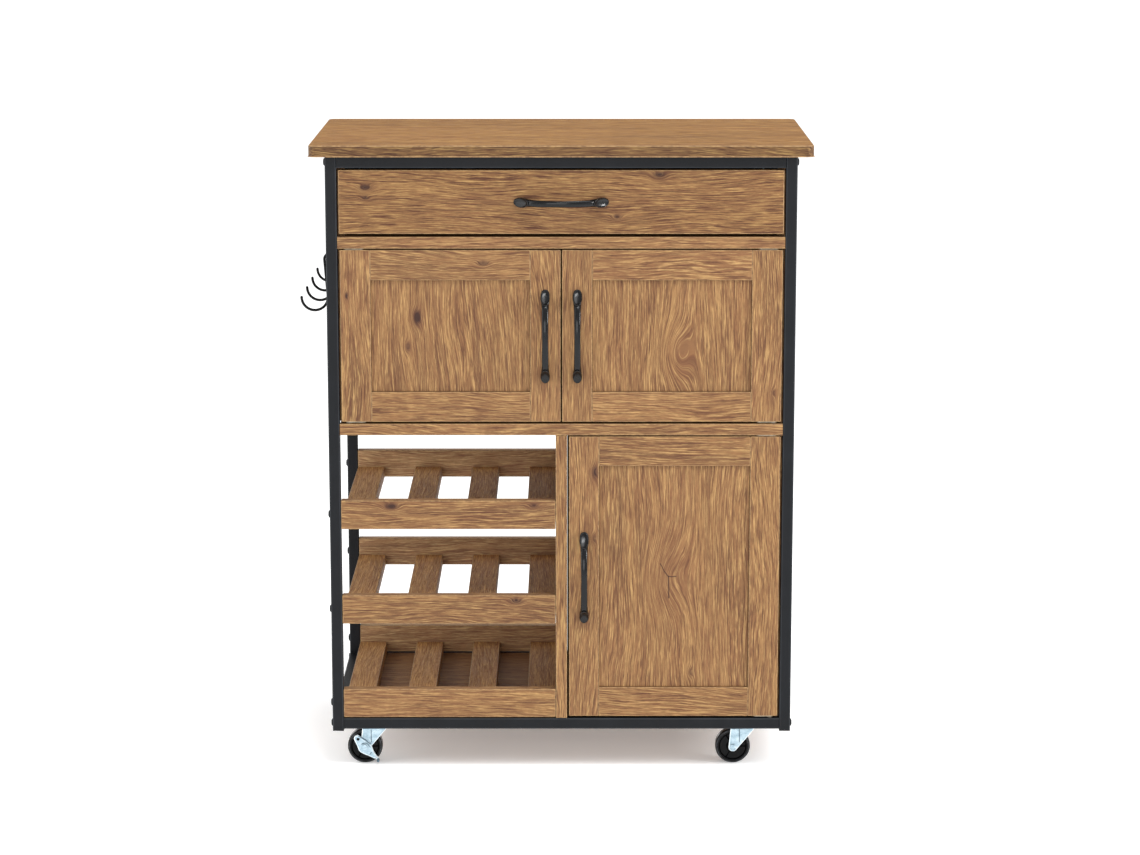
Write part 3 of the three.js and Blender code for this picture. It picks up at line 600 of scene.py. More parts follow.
def add_back_nails():
    """Small flat nail heads round the rear face of each back panel."""
    profile = [(0.0, 0.0), (0.0019, 0.0), (0.0019, 0.0004), (0.0013, 0.0007), (0.0, 0.0008)]
    inset = 0.009
    across = 5
    bm = bmesh.new()
    for node, up in (("upper_back_panel", 4), ("lower_back_panel", 6)):
        low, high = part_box(node)
        for i in range(across + 1):
            for k in range(up + 1):
                if 0 < i < across and 0 < k < up:
                    continue
                x = low.x + inset + (high.x - low.x - 2 * inset) * i / across
                z = low.z + inset + (high.z - low.z - 2 * inset) * k / up
                lathe(bm, profile, facing("+Y", (x, high.y, z)), sides=14)
    add_piece("back_panel_nails", bm, [STEEL], "frame")


# ---- Bottle racks ----
def add_rack(number, knots):
    node = f"bottle_rack_{number}"
    low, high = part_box(node)
    front_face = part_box("front_left_post")[1].y
    rear_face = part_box("rear_left_post")[0].y
    thickness = front_face - low.y
    slat_width = 0.041
    spots = [(*spot(node, u, v), radius, darkness) for u, v, radius, darkness in knots]
    seed = 20.0 + number * 1.9
    rail_oak = oak(f"oak_rack_{number}", "XZY", seed, spots, contrast=1.1)
    # The slats and the back board are the rail's oak painted lighter: painted light in the shaded inside of
    # the rack.
    painted_light_slat_oak = oak(f"oak_painted_light_slat_{number}", "YXZ", seed + 0.7, wave=0.7, tone_and_painted_light=SLAT_PAINTED_LIGHT, contrast=0.7)
    back_oak = oak(f"oak_rack_{number}_back", "XZY", seed + 0.3, tone_and_painted_light=RACK_BACK_PAINTED_LIGHT, contrast=0.8)
    bm = bmesh.new()
    rounded_box(bm, low, (high.x, front_face, high.z))
    rounded_box(bm, (low.x, rear_face, low.z), high, face=3)
    pitch = (high.x - low.x - slat_width) / 3
    for i in range(4):
        left = low.x + i * pitch
        corner = (left, front_face + PANEL_SLIT, low.z)
        rounded_box(bm, corner, (left + slat_width, rear_face - PANEL_SLIT, low.z + thickness), face=2)
    add_piece(f"{node}_piece", bm, [rail_oak, EDGE_OAK, painted_light_slat_oak, back_oak], "frame", [node])


def add_racks():
    add_rack(1, [(0.235, 0.8, 0.006, 0.9), (0.9, 0.82, 0.005, 0.6)])
    add_rack(2, [(0.815, 0.82, 0.006, 0.9)])
    add_rack(3, [])


# ---- Doors ----
def add_door(node, knots, cracks=()):
    low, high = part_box(node)
    seed = 30.0 + 3.3 * list(DOORS).index(node)
    panel_low = Vector((low.x + STILE, low.y + PANEL_SINK, low.z + STILE))
    panel_high = Vector((high.x - STILE, high.y - PANEL_SINK_BACK, high.z - STILE))

    def placed(kind, swap):
        found = []
        for where, u, v, radius, darkness in knots:
            if where == kind:
                x, z = spot(node, u, v)
                found.append((z, x, radius, darkness) if swap else (x, z, radius, darkness))
        return found

    lines = [(spot(node, *a), spot(node, *b)) for a, b in cracks]
    stile_oak = oak(f"oak_{node}_stile", "ZXY", seed, placed("stile", True), contrast=1.05)
    rail_oak = oak(f"oak_{node}_rail", "XZY", seed + 1.1, placed("rail", False), contrast=1.05)
    panel_oak = oak(f"oak_{node}_panel", "ZXY", seed + 2.2, placed("panel", True), lines)
    bm = bmesh.new()
    rounded_box(bm, low, (panel_low.x, high.y, high.z), BOARD_EDGE, 0, 3)
    rounded_box(bm, (panel_high.x, low.y, low.z), high, BOARD_EDGE, 0, 3)
    rounded_box(bm, (panel_low.x, low.y, panel_high.z), (panel_high.x, high.y, high.z), 0.0008, 1, 3)
    rounded_box(bm, (panel_low.x, low.y, low.z), (panel_high.x, high.y, panel_low.z), 0.0008, 1, 3)
    slit = Vector((PANEL_SLIT, 0.0, PANEL_SLIT))
    rounded_box(bm, panel_low + slit, panel_high - slit, 0.0004, 2, 2)
    add_piece(f"{node}_piece", bm, [stile_oak, rail_oak, panel_oak, EDGE_OAK], node, [node])


def add_doors():
    add_door("upper_left_door", [
        ("panel", 0.349, 0.607, 0.0072, 1.0), ("panel", 0.306, 0.437, 0.0048, 0.8),
        ("stile", 0.03, 0.735, 0.003, 1.0), ("rail", 0.65, 0.925, 0.0052, 0.9),
    ])
    add_door("upper_right_door", [("stile", 0.965, 0.17, 0.004, 0.4), ("panel", 0.55, 0.4, 0.019, 0.0)])
    add_door("lower_door", [
        ("panel", 0.5, 0.5, 0.026, 0.1), ("panel", 0.585, 0.155, 0.0045, 0.45),
        ("stile", 0.125, 0.875, 0.006, 0.8), ("stile", 0.122, 0.64, 0.0045, 0.5),
    ], [((0.434, 0.545), (0.476, 0.503)), ((0.476, 0.503), (0.476, 0.425)), ((0.476, 0.503), (0.51, 0.502))])


def add_hinge(door, side):
    """The upper leaf with its pin, the lower leaf with its pin, and the bush below it."""
    node = f"{door}_hinge"
    low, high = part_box(node)
    door_low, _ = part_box(door)
    leaf_top = low.z + LEAF_SHEET
    pivot_x = high.x - PIVOT_INSET if side > 0 else low.x + PIVOT_INSET
    pivot_y = (low.y + high.y) / 2
    centre = ((low.x + high.x) / 2, pivot_y)
    half = (high.x - low.x) / 2
    outline = rounded_rectangle(half, (high.y - low.y) / 2, 0.003)
    bm = bmesh.new()
    prism(bm, outline, leaf_top - low.z, Matrix.Translation((*centre, low.z)), LEAF_EDGE)
    pin = [(0.0, 0.0), (PIN_RADIUS, 0.0), (PIN_RADIUS, 0.0066), (0.0013, 0.0074), (0.0, 0.0074)]
    lathe(bm, pin, Matrix.Translation((pivot_x, pivot_y, leaf_top + 0.00005)), sides=20)
    add_piece(f"{node}_piece", bm, [HINGE_STEEL, HINGE_STEEL], door, [node])

    bm = bmesh.new()
    base = door_low.z - 0.0014
    prism(bm, outline, LEAF_SHEET, Matrix.Translation((*centre, base)), LEAF_EDGE)
    stub = [(0.0, 0.0), (0.0015, 0.0), (PIN_RADIUS, 0.0003), (PIN_RADIUS, 0.0007), (0.0, 0.0007)]
    lathe(bm, stub, Matrix.Translation((pivot_x, pivot_y, base - 0.00075)), sides=20)
    add_piece(f"{door}_lower_hinge", bm, [HINGE_STEEL, HINGE_STEEL], door)

    board_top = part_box("cabinet_floor")[1].z if door != "lower_door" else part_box("bottom_front_rail")[1].z
    bm = bmesh.new()
    bush = [(0.0, 0.0), (0.0042, 0.0), (0.0042, 0.0003), (0.0036, 0.0006), (0.0, 0.0006)]
    lathe(bm, bush, Matrix.Translation((pivot_x, pivot_y, board_top + 0.00002)), sides=20)
    add_piece(f"{door}_hinge_bush", bm, [HINGE_STEEL], "frame")


def add_catch(door, side):
    """A magnetic catch on the board above the door's free edge, and its steel strike plate."""
    low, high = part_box(door)
    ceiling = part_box("drawer_shelf" if door != "lower_door" else "cabinet_floor")[0].z
    free_x = low.x if side > 0 else high.x
    centre_x = free_x + side * 0.027
    face_y = high.y + 0.0013
    bm = bmesh.new()
    corner = (centre_x - 0.018, face_y, ceiling - 0.012)
    rounded_box(bm, corner, (centre_x + 0.018, face_y + 0.014, ceiling - 0.0001), 0.0012, edge=0)
    for offset in (-0.011, 0.011):
        screw(bm, (centre_x + offset, face_y + 0.009, ceiling - 0.012), "-Z", 0.0026, 0.0012, face=1)
    add_piece(f"{door}_catch", bm, [BLACK_PLASTIC_AND_HOLE_SHADE, STEEL], "frame")
    bm = bmesh.new()
    top = high.z - 0.002
    rounded_box(bm, (centre_x - 0.013, high.y, top - 0.011), (centre_x + 0.013, high.y + 0.001, top), 0.0003)
    add_piece(f"{door}_strike_plate", bm, [STEEL, STEEL], door)


# ---- Handles ----
def bezier(a, b, c, d, t):
    s = 1 - t
    return a * s ** 3 + b * 3 * s * s * t + c * 3 * s * t * t + d * t ** 3


def seat_spoon(point):
    """Presses a point of the bar's outer line down to the flat that carries the spoon."""
    aside = Vector((-SPOON_CENTRE[0], SPOON_CENTRE[1]))
    along = Vector((math.cos(SPOON_SLOPE), math.sin(SPOON_SLOPE)))
    outward = Vector((-math.sin(SPOON_SLOPE), math.cos(SPOON_SLOPE)))
    offset = point - aside
    over = offset.dot(outward) + SPOON_SEAT
    reach = abs(offset.dot(along)) / SPOON_HALF_LENGTH
    share = min(1.0, max(0.0, (1.15 - reach) / 0.3))
    return point - outward * max(0.0, over) * share


def handle_rings():
    """Sections of half a bow handle, from its foot on the board to the middle of the bar. Each
    is (outer point, inner point, half width), seen with its length along X and its reach along Y."""
    end, reach = HANDLE_HALF_LENGTH, HANDLE_REACH
    foot = end - HANDLE_FOOT
    inner_reach = reach - HANDLE_BAR
    outer_curve = [(-end, 0.0009), (-end + 0.008, 0.004), (-end + 0.021, reach), (0.0, reach)]
    inner_curve = [(-foot, 0.0009), (-foot + 0.005, 0.0155), (-foot + 0.02, inner_reach), (0.0, inner_reach)]
    steps = 22
    rings = [((-end, 0.0), (-foot, 0.0), 0.0065)]
    for i in range(steps + 1):
        t = (i / steps) ** 1.15
        outer = bezier(*map(Vector, outer_curve), t)
        inner = bezier(*map(Vector, inner_curve), t)
        near_pad = max(0.0, 1.0 - t / 0.5)
        half_width = 0.0043 + 0.0011 * (1 - t) + 0.0011 * near_pad
        rings.append((tuple(seat_spoon(outer)), tuple(inner), half_width))
    return rings


def add_spoon(bm, matrix, end):
    """The dished oval that faces outwards at one end of a bow handle."""
    ramp = Vector((-end * math.cos(SPOON_SLOPE), -math.sin(SPOON_SLOPE), 0.0))
    outward = Vector((end * math.sin(SPOON_SLOPE), -math.cos(SPOON_SLOPE), 0.0))
    across = Vector((0.0, 0.0, 1.0))
    tilt = Matrix((ramp, across, outward)).transposed().to_4x4()
    place = matrix @ Matrix.Translation((end * SPOON_CENTRE[0], -SPOON_CENTRE[1], 0.0)) @ tilt
    oval = place @ Matrix.Diagonal((SPOON_HALF_LENGTH, SPOON_HALF_WIDTH, 1.0, 1.0))
    profile = [
        (0.0, -0.0016), (0.84, -0.0016), (0.96, -0.0006), (1.0, 0.0003), (0.985, 0.0008),
        (0.94, 0.0011), (0.9, 0.001), (0.78, 0.0005), (0.6, 0.0001), (0.4, -0.0001),
        (0.2, -0.0002), (0.0, -0.0002),
    ]
    lathe(bm, profile, oval, sides=40)


def add_handle(node, body):
    low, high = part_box(node)
    centre = (low + high) / 2
    upright = high.z - low.z > high.x - low.x
    turn = Matrix.Rotation(math.pi / 2, 4, "Y") if upright else Matrix.Identity(4)
    matrix = Matrix.Translation((centre.x, high.y, centre.z)) @ turn
    half = handle_rings()
    whole = half + [((-o[0], o[1]), (-i[0], i[1]), w) for o, i, w in reversed(half[:-1])]
    bm = bmesh.new()
    sides = 28
    bulge = 0.86  # below 1, the section is squarer than an ellipse
    loops = []
    for outer, inner, width in whole:
        outer_point = Vector((outer[0], -outer[1], 0.0))
        inner_point = Vector((inner[0], -inner[1], 0.0))
        middle = (outer_point + inner_point) / 2
        arm = (outer_point - inner_point) / 2
        loop = []
        for k in range(sides):
            turn_angle = 2 * math.pi * k / sides
            c, s = math.cos(turn_angle), math.sin(turn_angle)
            reach = math.copysign(abs(c) ** bulge, c)
            side = math.copysign(abs(s) ** bulge, s)
            loop.append(bm.verts.new(matrix @ (middle + arm * reach + Vector((0.0, 0.0, width * side)))))
        loops.append(loop)
    for first, second in zip(loops, loops[1:]):
        for k in range(sides):
            j = (k + 1) % sides
            bm.faces.new((first[k], first[j], second[j], second[k]))
    bm.faces.new(loops[0])
    bm.faces.new(loops[-1])
    for end in (-1, 1):
        add_spoon(bm, matrix, end)
    add_piece(f"{node}_piece", bm, [HANDLE_PAINT], body, [node], sharp=60.0)

    board_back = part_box("drawer_front" if body == "drawer" else body)[1].y
    bm = bmesh.new()
    for offset in (-HANDLE_CENTRES / 2, HANDLE_CENTRES / 2):
        spread = Vector((0.0, 0.0, offset)) if upright else Vector((offset, 0.0, 0.0))
        screw(bm, Vector((centre.x, board_back, centre.z)) + spread, "+Y")
    add_piece(f"{node}_screws", bm, [STEEL], body)


# ---- Drawer ----
def add_drawer():
    knots = [
        (*spot("drawer_front", 0.061, 0.73), 0.0055, 0.85), (*spot("drawer_front", 0.061, 0.57), 0.004, 0.7),
        (*spot("drawer_front", 0.625, 0.27), 0.0045, 0.8), (*spot("drawer_front", 0.72, 0.93), 0.006, 0.8),
    ]
    drawer_oak = oak("oak_drawer_front", "XZY", 14.6, knots, tone_and_painted_light=DRAWER_TONE, contrast=1.25)
    add_board("drawer_front", drawer_oak, "drawer")
    side_oak = oak("oak_drawer_side", "YZX", 15.8, contrast=0.8)
    back_oak = oak("oak_drawer_back", "XZY", 17.1, contrast=0.8)
    add_board("drawer_left_side", side_oak, "drawer")
    add_board("drawer_right_side", side_oak, "drawer")
    add_board("drawer_back", back_oak, "drawer")
    add_board("drawer_bottom", HARDBOARD, "drawer", THIN_EDGE, HARDBOARD)


def channel_outline(web, lip, low, high, wall):
    """A C section: web is the closed side's X, lip the open side's."""
    step = math.copysign(wall, lip - web)
    return [(web, low), (web, high), (lip, high), (lip, high - wall), (web + step, high - wall),
            (web + step, low + wall), (lip, low + wall), (lip, low)]


def add_runner(side_name, side):
    """The outer channel on the side panel, and the inner member that slides out with the drawer."""
    node = f"{side_name}_drawer_runner"
    low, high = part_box(node)
    web, lip = (high.x, low.x) if side > 0 else (low.x, high.x)
    length = high.y - low.y
    matrix = Matrix.Translation((0.0, high.y, 0.0)) @ Matrix.Rotation(math.pi / 2, 4, "X")
    bm = bmesh.new()
    prism(bm, channel_outline(web, lip, low.z, high.z, 0.0015), length, matrix, 0.0003)
    for y in (low.y + 0.04, high.y - 0.04):
        head = Vector((web - side * 0.0015, y, (low.z + high.z) / 2))
        screw(bm, head, "-X" if side > 0 else "+X", 0.0032, 0.0014)
    add_piece(f"{node}_piece", bm, [ZINC, ZINC], "frame", [node])

    bm = bmesh.new()
    inner_web = lip + side * 0.0003
    inner_lip = inner_web + side * 0.007
    outline = channel_outline(inner_web, inner_lip, low.z + 0.0045, high.z - 0.0045, 0.0012)
    prism(bm, outline, length - 0.004, matrix @ Matrix.Translation((0.0, 0.0, 0.002)), 0.0003)
    add_piece(f"{side_name}_runner_inner_member", bm, [STEEL, STEEL], "drawer")


# ---- Frame ----
def add_tube(node):
    """A square tube with rounded corners, open at both ends."""
    low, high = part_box(node)
    size = high - low
    axis = max(range(3), key=lambda i: size[i])
    letter = "XYZ"[axis]
    start = (low + high) / 2
    start[axis] = low[axis]
    matrix = facing("+" + letter, start)
    half = min(size) / 2
    outer = rounded_rectangle(half, half, TUBE_CORNER)
    inner = rounded_rectangle(half - TUBE_WALL, half - TUBE_WALL, TUBE_INNER_CORNER)
    bm = bmesh.new()
    loops = []
    for outline, height in ((inner, 0.0), (outer, 0.0), (outer, size[axis]), (inner, size[axis])):
        loops.append([bm.verts.new(matrix @ Vector((x, y, height))) for x, y in outline])
    count = len(outer)
    corner_steps = count // 4
    for number, (first, second) in enumerate(zip(loops, [*loops[1:], loops[0]])):
        for k in range(count):
            j = (k + 1) % count
            made = bm.faces.new((first[k], first[j], second[j], second[k]))
            # The outer wall's rounded corners take the paler paint: a painted highlight along the tube's
            # corners.
            highlight_corner = number == 1 and k % corner_steps != corner_steps - 1
            made.material_index = 1 if highlight_corner else 0
    add_piece(f"{node}_piece", bm, [FRAME_PAINT, FRAME_CORNER_HIGHLIGHT], "frame", [node])


def add_frame():
    nodes = [f"{corner}_post" for corner in CORNERS]
    for level in ("top", "bottom"):
        nodes += [f"{level}_{side}_rail" for side in ("front", "rear", "left", "right")]
    for node in nodes:
        add_tube(node)
    bm = bmesh.new()
    for corner in CORNERS:
        low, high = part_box(f"{corner}_post")
        rounded_box(bm, (low.x, low.y, low.z - 0.0016), (high.x, high.y, low.z - 0.0001), 0.0006)
    add_piece("post_end_caps", bm, [BLACK_PLASTIC_AND_HOLE_SHADE, BLACK_PLASTIC_AND_HOLE_SHADE], "frame")


def add_bolts():
    """Domed bolt heads on the outer faces of the posts, where rails and boards are fixed."""
    bm = bmesh.new()
    rails = [middle_height("top_front_rail"), middle_height("bottom_front_rail")]
    racks = [middle_height(f"bottle_rack_{number}") for number in (1, 2, 3)]
    for corner in CORNERS:
        low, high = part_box(f"{corner}_post")
        left = corner.endswith("left")
        x, axis = (low.x, "-X") if left else (high.x, "+X")
        for z in rails + racks if left else rails:
            screw(bm, (x, (low.y + high.y) / 2, z), axis, BOLT_RADIUS, BOLT_HEIGHT)
    add_piece("frame_bolts", bm, [FRAME_PAINT], "frame")


def middle_height(node):
    low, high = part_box(node)
    return (low.z + high.z) / 2


# ---- Rod and hooks ----
def rod_axis():
    low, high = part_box("hook_rod")
    return (low.x + high.x) / 2 - 0.002, (low.z + high.z) / 2


def add_rod():
    low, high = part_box("hook_rod")
    x, z = rod_axis()
    length = high.y - low.y
    bm = bmesh.new()
    end_radius = ROD_RADIUS - 0.0002
    rod = [(0.0, 0.0), (end_radius, 0.0), (ROD_RADIUS, 0.0004)]
    rod += [(ROD_RADIUS, length - 0.0004), (end_radius, length), (0.0, length)]
    lathe(bm, rod, facing("+Y", (x, low.y, z)), sides=36)
    collar = [(0.0041, 0.0), (0.0068, 0.0), (0.007, 0.0004)]
    collar += [(0.007, 0.003), (0.0064, 0.0038), (0.0041, 0.004)]
    for y, axis in ((low.y, "+Y"), (high.y, "-Y")):
        lathe(bm, collar, facing(axis, (x + 0.002, y, z)), sides=36)
    add_piece("hook_rod_piece", bm, [FRAME_PAINT], "frame", ["hook_rod"])


def hook_path():
    """The wire's centre line about the middle of its loop, in X and Z."""
    points = []
    for i in range(25):
        turn = LOOP_START + (math.pi - LOOP_START) * i / 24
        points.append((LOOP_RADIUS * math.cos(turn), LOOP_RADIUS * math.sin(turn)))
    points += [(-LOOP_RADIUS, -SHANK * i / 8) for i in range(1, 8)]
    centre_x = -LOOP_RADIUS - BEND_RADIUS
    for i in range(29):
        turn = -math.pi * i / 28
        points.append((centre_x + BEND_RADIUS * math.cos(turn), -SHANK + BEND_RADIUS * math.sin(turn)))
    points.append((centre_x - BEND_RADIUS, -SHANK + TIP_RISE))
    return points


def add_hooks():
    rod_x, rod_z = rod_axis()
    lean = Matrix.Rotation(-HOOK_LEAN, 3, "Y")
    for node in HOOKS:
        low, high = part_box(node)
        loop = Vector((rod_x - 0.001, (low.y + high.y) / 2, rod_z - 0.0014))
        path = [loop + lean @ Vector((x, 0.0, z)) for x, z in hook_path()]
        bm = bmesh.new()
        sweep(bm, path, WIRE_RADIUS)
        add_piece(f"{node}_piece", bm, [HOOK_PAINT], node, [node])


# ---- Casters ----
def add_caster_plate(corner):
    node = f"{corner}_caster_plate"
    low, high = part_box(node)
    centre = (low + high) / 2
    race_base = low.z
    plate_base = high.z - 0.002
    bm = bmesh.new()
    outline = rounded_rectangle((high.x - low.x) / 2, (high.y - low.y) / 2, 0.004)
    prism(bm, outline, high.z - plate_base, Matrix.Translation((centre.x, centre.y, plate_base)), 0.0004)
    race = [(0.0, 0.0), (0.0158, 0.0), (0.0168, 0.0004), (0.017, 0.001)]
    race += [(0.0166, 0.0017), (0.0155, 0.0025), (0.0, 0.0025)]
    lathe(bm, race, Matrix.Translation((centre.x, centre.y, race_base)), sides=48)
    for sx in (-1, 1):
        for sy in (-1, 1):
            screw(bm, (centre.x + sx * 0.0245, centre.y + sy * 0.0155, plate_base), "-Z", 0.0034, 0.0014)
    add_piece(f"{node}_piece", bm, [ZINC, ZINC], "frame", [node])


def fork_edges(z):
    """Where a fork leg's sheet starts and ends in X at height z, from the swivel axis."""
    drop = AXLE_HEIGHT - z
    round_half = math.sqrt(max(FORK_TIP ** 2 - drop ** 2, 0.0))
    left = -TRAIL - round_half
    if z > AXLE_HEIGHT:
        share = (z - AXLE_HEIGHT) / (FORK_CROWN_TOP - AXLE_HEIGHT)
        left = -TRAIL - FORK_TIP + share * (FORK_CROWN_LEFT + TRAIL + FORK_TIP)
    corner_x = -TRAIL + FORK_TIP * math.cos(FORK_TIP_END)
    corner_z = AXLE_HEIGHT + FORK_TIP * math.sin(FORK_TIP_END)
    right = -TRAIL + round_half
    if z > corner_z:
        share = (z - corner_z) / (FORK_CROWN_TOP - corner_z)
        right = corner_x + share * (FORK_CROWN_RIGHT - corner_x)
    return left, right


def fork_stations():
    """The folded sheet's middle line from one tip over the crown to the other: (y, z, out_y,
    out_z, z that sets its width), where out points to the outer side of the sheet."""
    middle = FORK_HALF_WIDTH - FORK_SHEET / 2
    bend_centre_z = FORK_CROWN_TOP - FORK_SHEET / 2 - FORK_BEND
    tip = AXLE_HEIGHT - FORK_TIP
    leg = []
    for i in range(9):
        turn = math.pi / 2 * i / 8
        leg.append(tip + FORK_TIP * (1 - math.cos(turn)))
    leg[0] += 0.00002
    leg += [AXLE_HEIGHT + (bend_centre_z - AXLE_HEIGHT) * i / 6 for i in range(1, 7)]
    half = [(middle, z, 1.0, 0.0, z) for z in leg]
    for i in range(1, 7):
        turn = math.pi / 2 * i / 6
        y = middle - FORK_BEND + FORK_BEND * math.cos(turn)
        z = bend_centre_z + FORK_BEND * math.sin(turn)
        half.append((y, z, math.cos(turn), math.sin(turn), z))
    flat_z = FORK_CROWN_TOP - FORK_SHEET / 2
    half.append((middle * 0.3, flat_z, 0.0, 1.0, flat_z))
    return half + [(-y, z, -oy, oz, w) for y, z, oy, oz, w in reversed(half)]


def add_fork(corner):
    node = f"{corner}_caster_fork"
    plate_low, plate_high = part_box(f"{corner}_caster_plate")
    centre = (plate_low + plate_high) / 2
    low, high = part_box(node)
    base = Matrix.Translation((centre.x, centre.y, 0.0))
    columns = 12
    rim = 0.0011
    bm = bmesh.new()
    skins = {1: [], -1: []}
    for y, z, out_y, out_z, width_z in fork_stations():
        left, right = fork_edges(width_z)
        for face, rows in skins.items():
            row = []
            for k in range(columns + 1):
                x = left + rim + (right - left - 2 * rim) * (k - 1) / (columns - 2)
                x = left if k == 0 else right if k == columns else x
                inward = max(0.0, x + TRAIL - FORK_CREASE) * FORK_CREASE_SLOPE * abs(out_y)
                half_sheet = face * FORK_SHEET / 2
                place = (x, y + out_y * (half_sheet - inward), z + out_z * half_sheet)
                row.append(bm.verts.new(base @ Vector(place)))
            rows.append(row)
    outer, inner = skins[1], skins[-1]
    # The sheet's outermost columns are the bright zinc: a painted highlight along the fork's rims.
    for rows in (outer, inner):
        for a, b in zip(rows, rows[1:]):
            for k in range(columns):
                made = bm.faces.new((a[k], a[k + 1], b[k + 1], b[k]))
                made.material_index = 1 if k in (0, columns - 1) else 0
    for i in range(len(outer) - 1):
        for k in (0, columns):
            bm.faces.new((outer[i][k], outer[i + 1][k], inner[i + 1][k], inner[i][k]))
    for i in (0, len(outer) - 1):
        for k in range(columns):
            bm.faces.new((outer[i][k], outer[i][k + 1], inner[i][k + 1], inner[i][k]))

    # A strip of darker zinc along each leg's crease: painted shade in the crease.
    crease_x = FORK_CREASE - TRAIL
    for out in (-1, 1):
        face = out * FORK_HALF_WIDTH
        low_corner = base @ Vector((crease_x - FORK_CREASE_HALF, face - 0.0005, FORK_CREASE_BASE))
        high_corner = base @ Vector((crease_x + FORK_CREASE_HALF, face + 0.00015, FORK_CROWN_TOP - FORK_BEND))
        if out < 0:
            low_corner.y, high_corner.y = face - 0.00015 + centre.y, face + 0.0005 + centre.y
        rounded_box(bm, low_corner, high_corner, 0.0001, face=2, edge=2, segments=1)

    neck = [(0.0, 0.0), (0.0148, 0.0), (0.015, 0.0003), (0.0146, 0.0011), (0.0, 0.0012)]
    lathe(bm, neck, base @ Matrix.Translation((0.0, 0.0, FORK_CROWN_TOP + 0.0001)), sides=44)
    axle = Vector((centre.x - TRAIL, 0.0, AXLE_HEIGHT))
    shaft = [(0.0, 0.0), (0.003, 0.0), (0.003, high.y - low.y - 0.003), (0.0, high.y - low.y - 0.003)]
    lathe(bm, shaft, facing("+Y", axle + Vector((0.0, low.y + 0.0015, 0.0))), sides=20)
    head = [(0.0, 0.0), (0.0018, 0.0001), (0.0034, 0.0004), (0.0045, 0.0009)]
    head += [(0.005, 0.00145), (0.0, 0.00145)]
    for y, axis in ((low.y, "+Y"), (high.y, "-Y")):
        lathe(bm, head, facing(axis, axle + Vector((0.0, y, 0.0))), sides=28)
    zincs = [ZINC, ZINC_RIM_HIGHLIGHT, ZINC_SHADE]
    add_piece(f"{node}_piece", bm, zincs, f"{corner}_swivel", [node], sharp=32.0)


def wheel_profile():
    """Half of the wheel's section as (radius, distance from the middle plane), bore to tread."""
    half = [(0.0036, 0.0092), (0.0039, 0.0095), (0.0076, 0.0095), (0.008, 0.0091), (0.0084, 0.0072)]
    half += [(0.0188, 0.0072), (0.0193, 0.0074), (0.0198, 0.0086), (0.0202, 0.009), (0.0224, 0.009)]
    half += [(0.0229, 0.0087), (0.0232, 0.0078), (0.0237, 0.0077)]
    for i in range(7):
        turn = math.pi / 2 * (1 - i / 6)
        half.append((0.0237 + 0.00155 * math.cos(turn), 0.0052 + 0.0026 * math.sin(turn)))
    half.append((AXLE_HEIGHT, 0.002))
    return half


def sector_outline(inner, outer, start, end, steps=12):
    turns = [start + (end - start) * i / steps for i in range(steps + 1)]
    points = [(outer * math.cos(t), outer * math.sin(t)) for t in turns]
    return points + [(inner * math.cos(t), inner * math.sin(t)) for t in reversed(turns)]


def add_wheel(corner):
    node = f"{corner}_wheel"
    low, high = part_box(node)
    centre = (low + high) / 2
    half = wheel_profile()
    profile = [(r, -y) for r, y in reversed(half)] + half
    profile.reverse()
    bm = bmesh.new()
    hub = facing("+Y", (centre.x, centre.y, AXLE_HEIGHT))
    lathe(bm, profile, hub, sides=72)
    # Faces in the rim band take the paler plastic (painted highlight); faces on the web floor take the
    # near-black one (painted shade in the grooves).
    for made in bm.faces:
        reach = (made.calc_center_median() - hub.translation).length
        from_axle = math.sqrt(max(reach ** 2 - RIM_DEPTH ** 2, 0.0))
        if RIM_HIGHLIGHT_BAND[0] < from_axle < RIM_HIGHLIGHT_BAND[1]:
            made.material_index = 1
        elif WEB_SHADE_BAND[0] < from_axle < WEB_SHADE_BAND[1]:
            made.material_index = 2
    groove = math.radians(3.5)
    for axis in ("-Y", "+Y"):
        web = facing(axis, (centre.x, centre.y, AXLE_HEIGHT)) @ Matrix.Translation((0.0, 0.0, 0.00725))
        for i in range(3):
            start = math.radians(30 + 120 * i) + groove
            outline = sector_outline(0.0092, 0.0184, start, start + math.radians(120) - 2 * groove)
            prism(bm, outline, 0.0006, web, 0.0002, edge=0, segments=2)
    add_piece(f"{node}_piece", bm, [WHEEL_PLASTIC, WHEEL_RIM_HIGHLIGHT, WHEEL_GROOVE_SHADE], node, [node])


def smooth_outline(points, steps=5):
    """A closed Catmull-Rom curve through a few points."""
    count = len(points)
    curve = []
    for i in range(count):
        p0, p1, p2, p3 = (Vector(points[(i + k) % count]) for k in (-1, 0, 1, 2))
        for k in range(steps):
            t = k / steps
            a = 2 * p1 + (p2 - p0) * t + (2 * p0 - 5 * p1 + 4 * p2 - p3) * t ** 2
            curve.append(tuple((a + (3 * p1 - p0 - 3 * p2 + p3) * t ** 3) / 2))
    return curve


LEVER_OUTLINE = [
    (-0.0135, 0.0165), (-0.0098, 0.0176), (-0.006, 0.0148), (0.0005, 0.0092), (0.007, 0.0058),
    (0.0098, 0.0), (0.0122, -0.0062), (0.0158, -0.0122), (0.0202, -0.0168), (0.0196, -0.0188),
    (0.0162, -0.0168), (0.0125, -0.0158), (0.006, -0.0124), (-0.002, -0.0092), (-0.0078, -0.005),
    (-0.0104, 0.002), (-0.0135, 0.0085), (-0.0151, 0.0128),
]


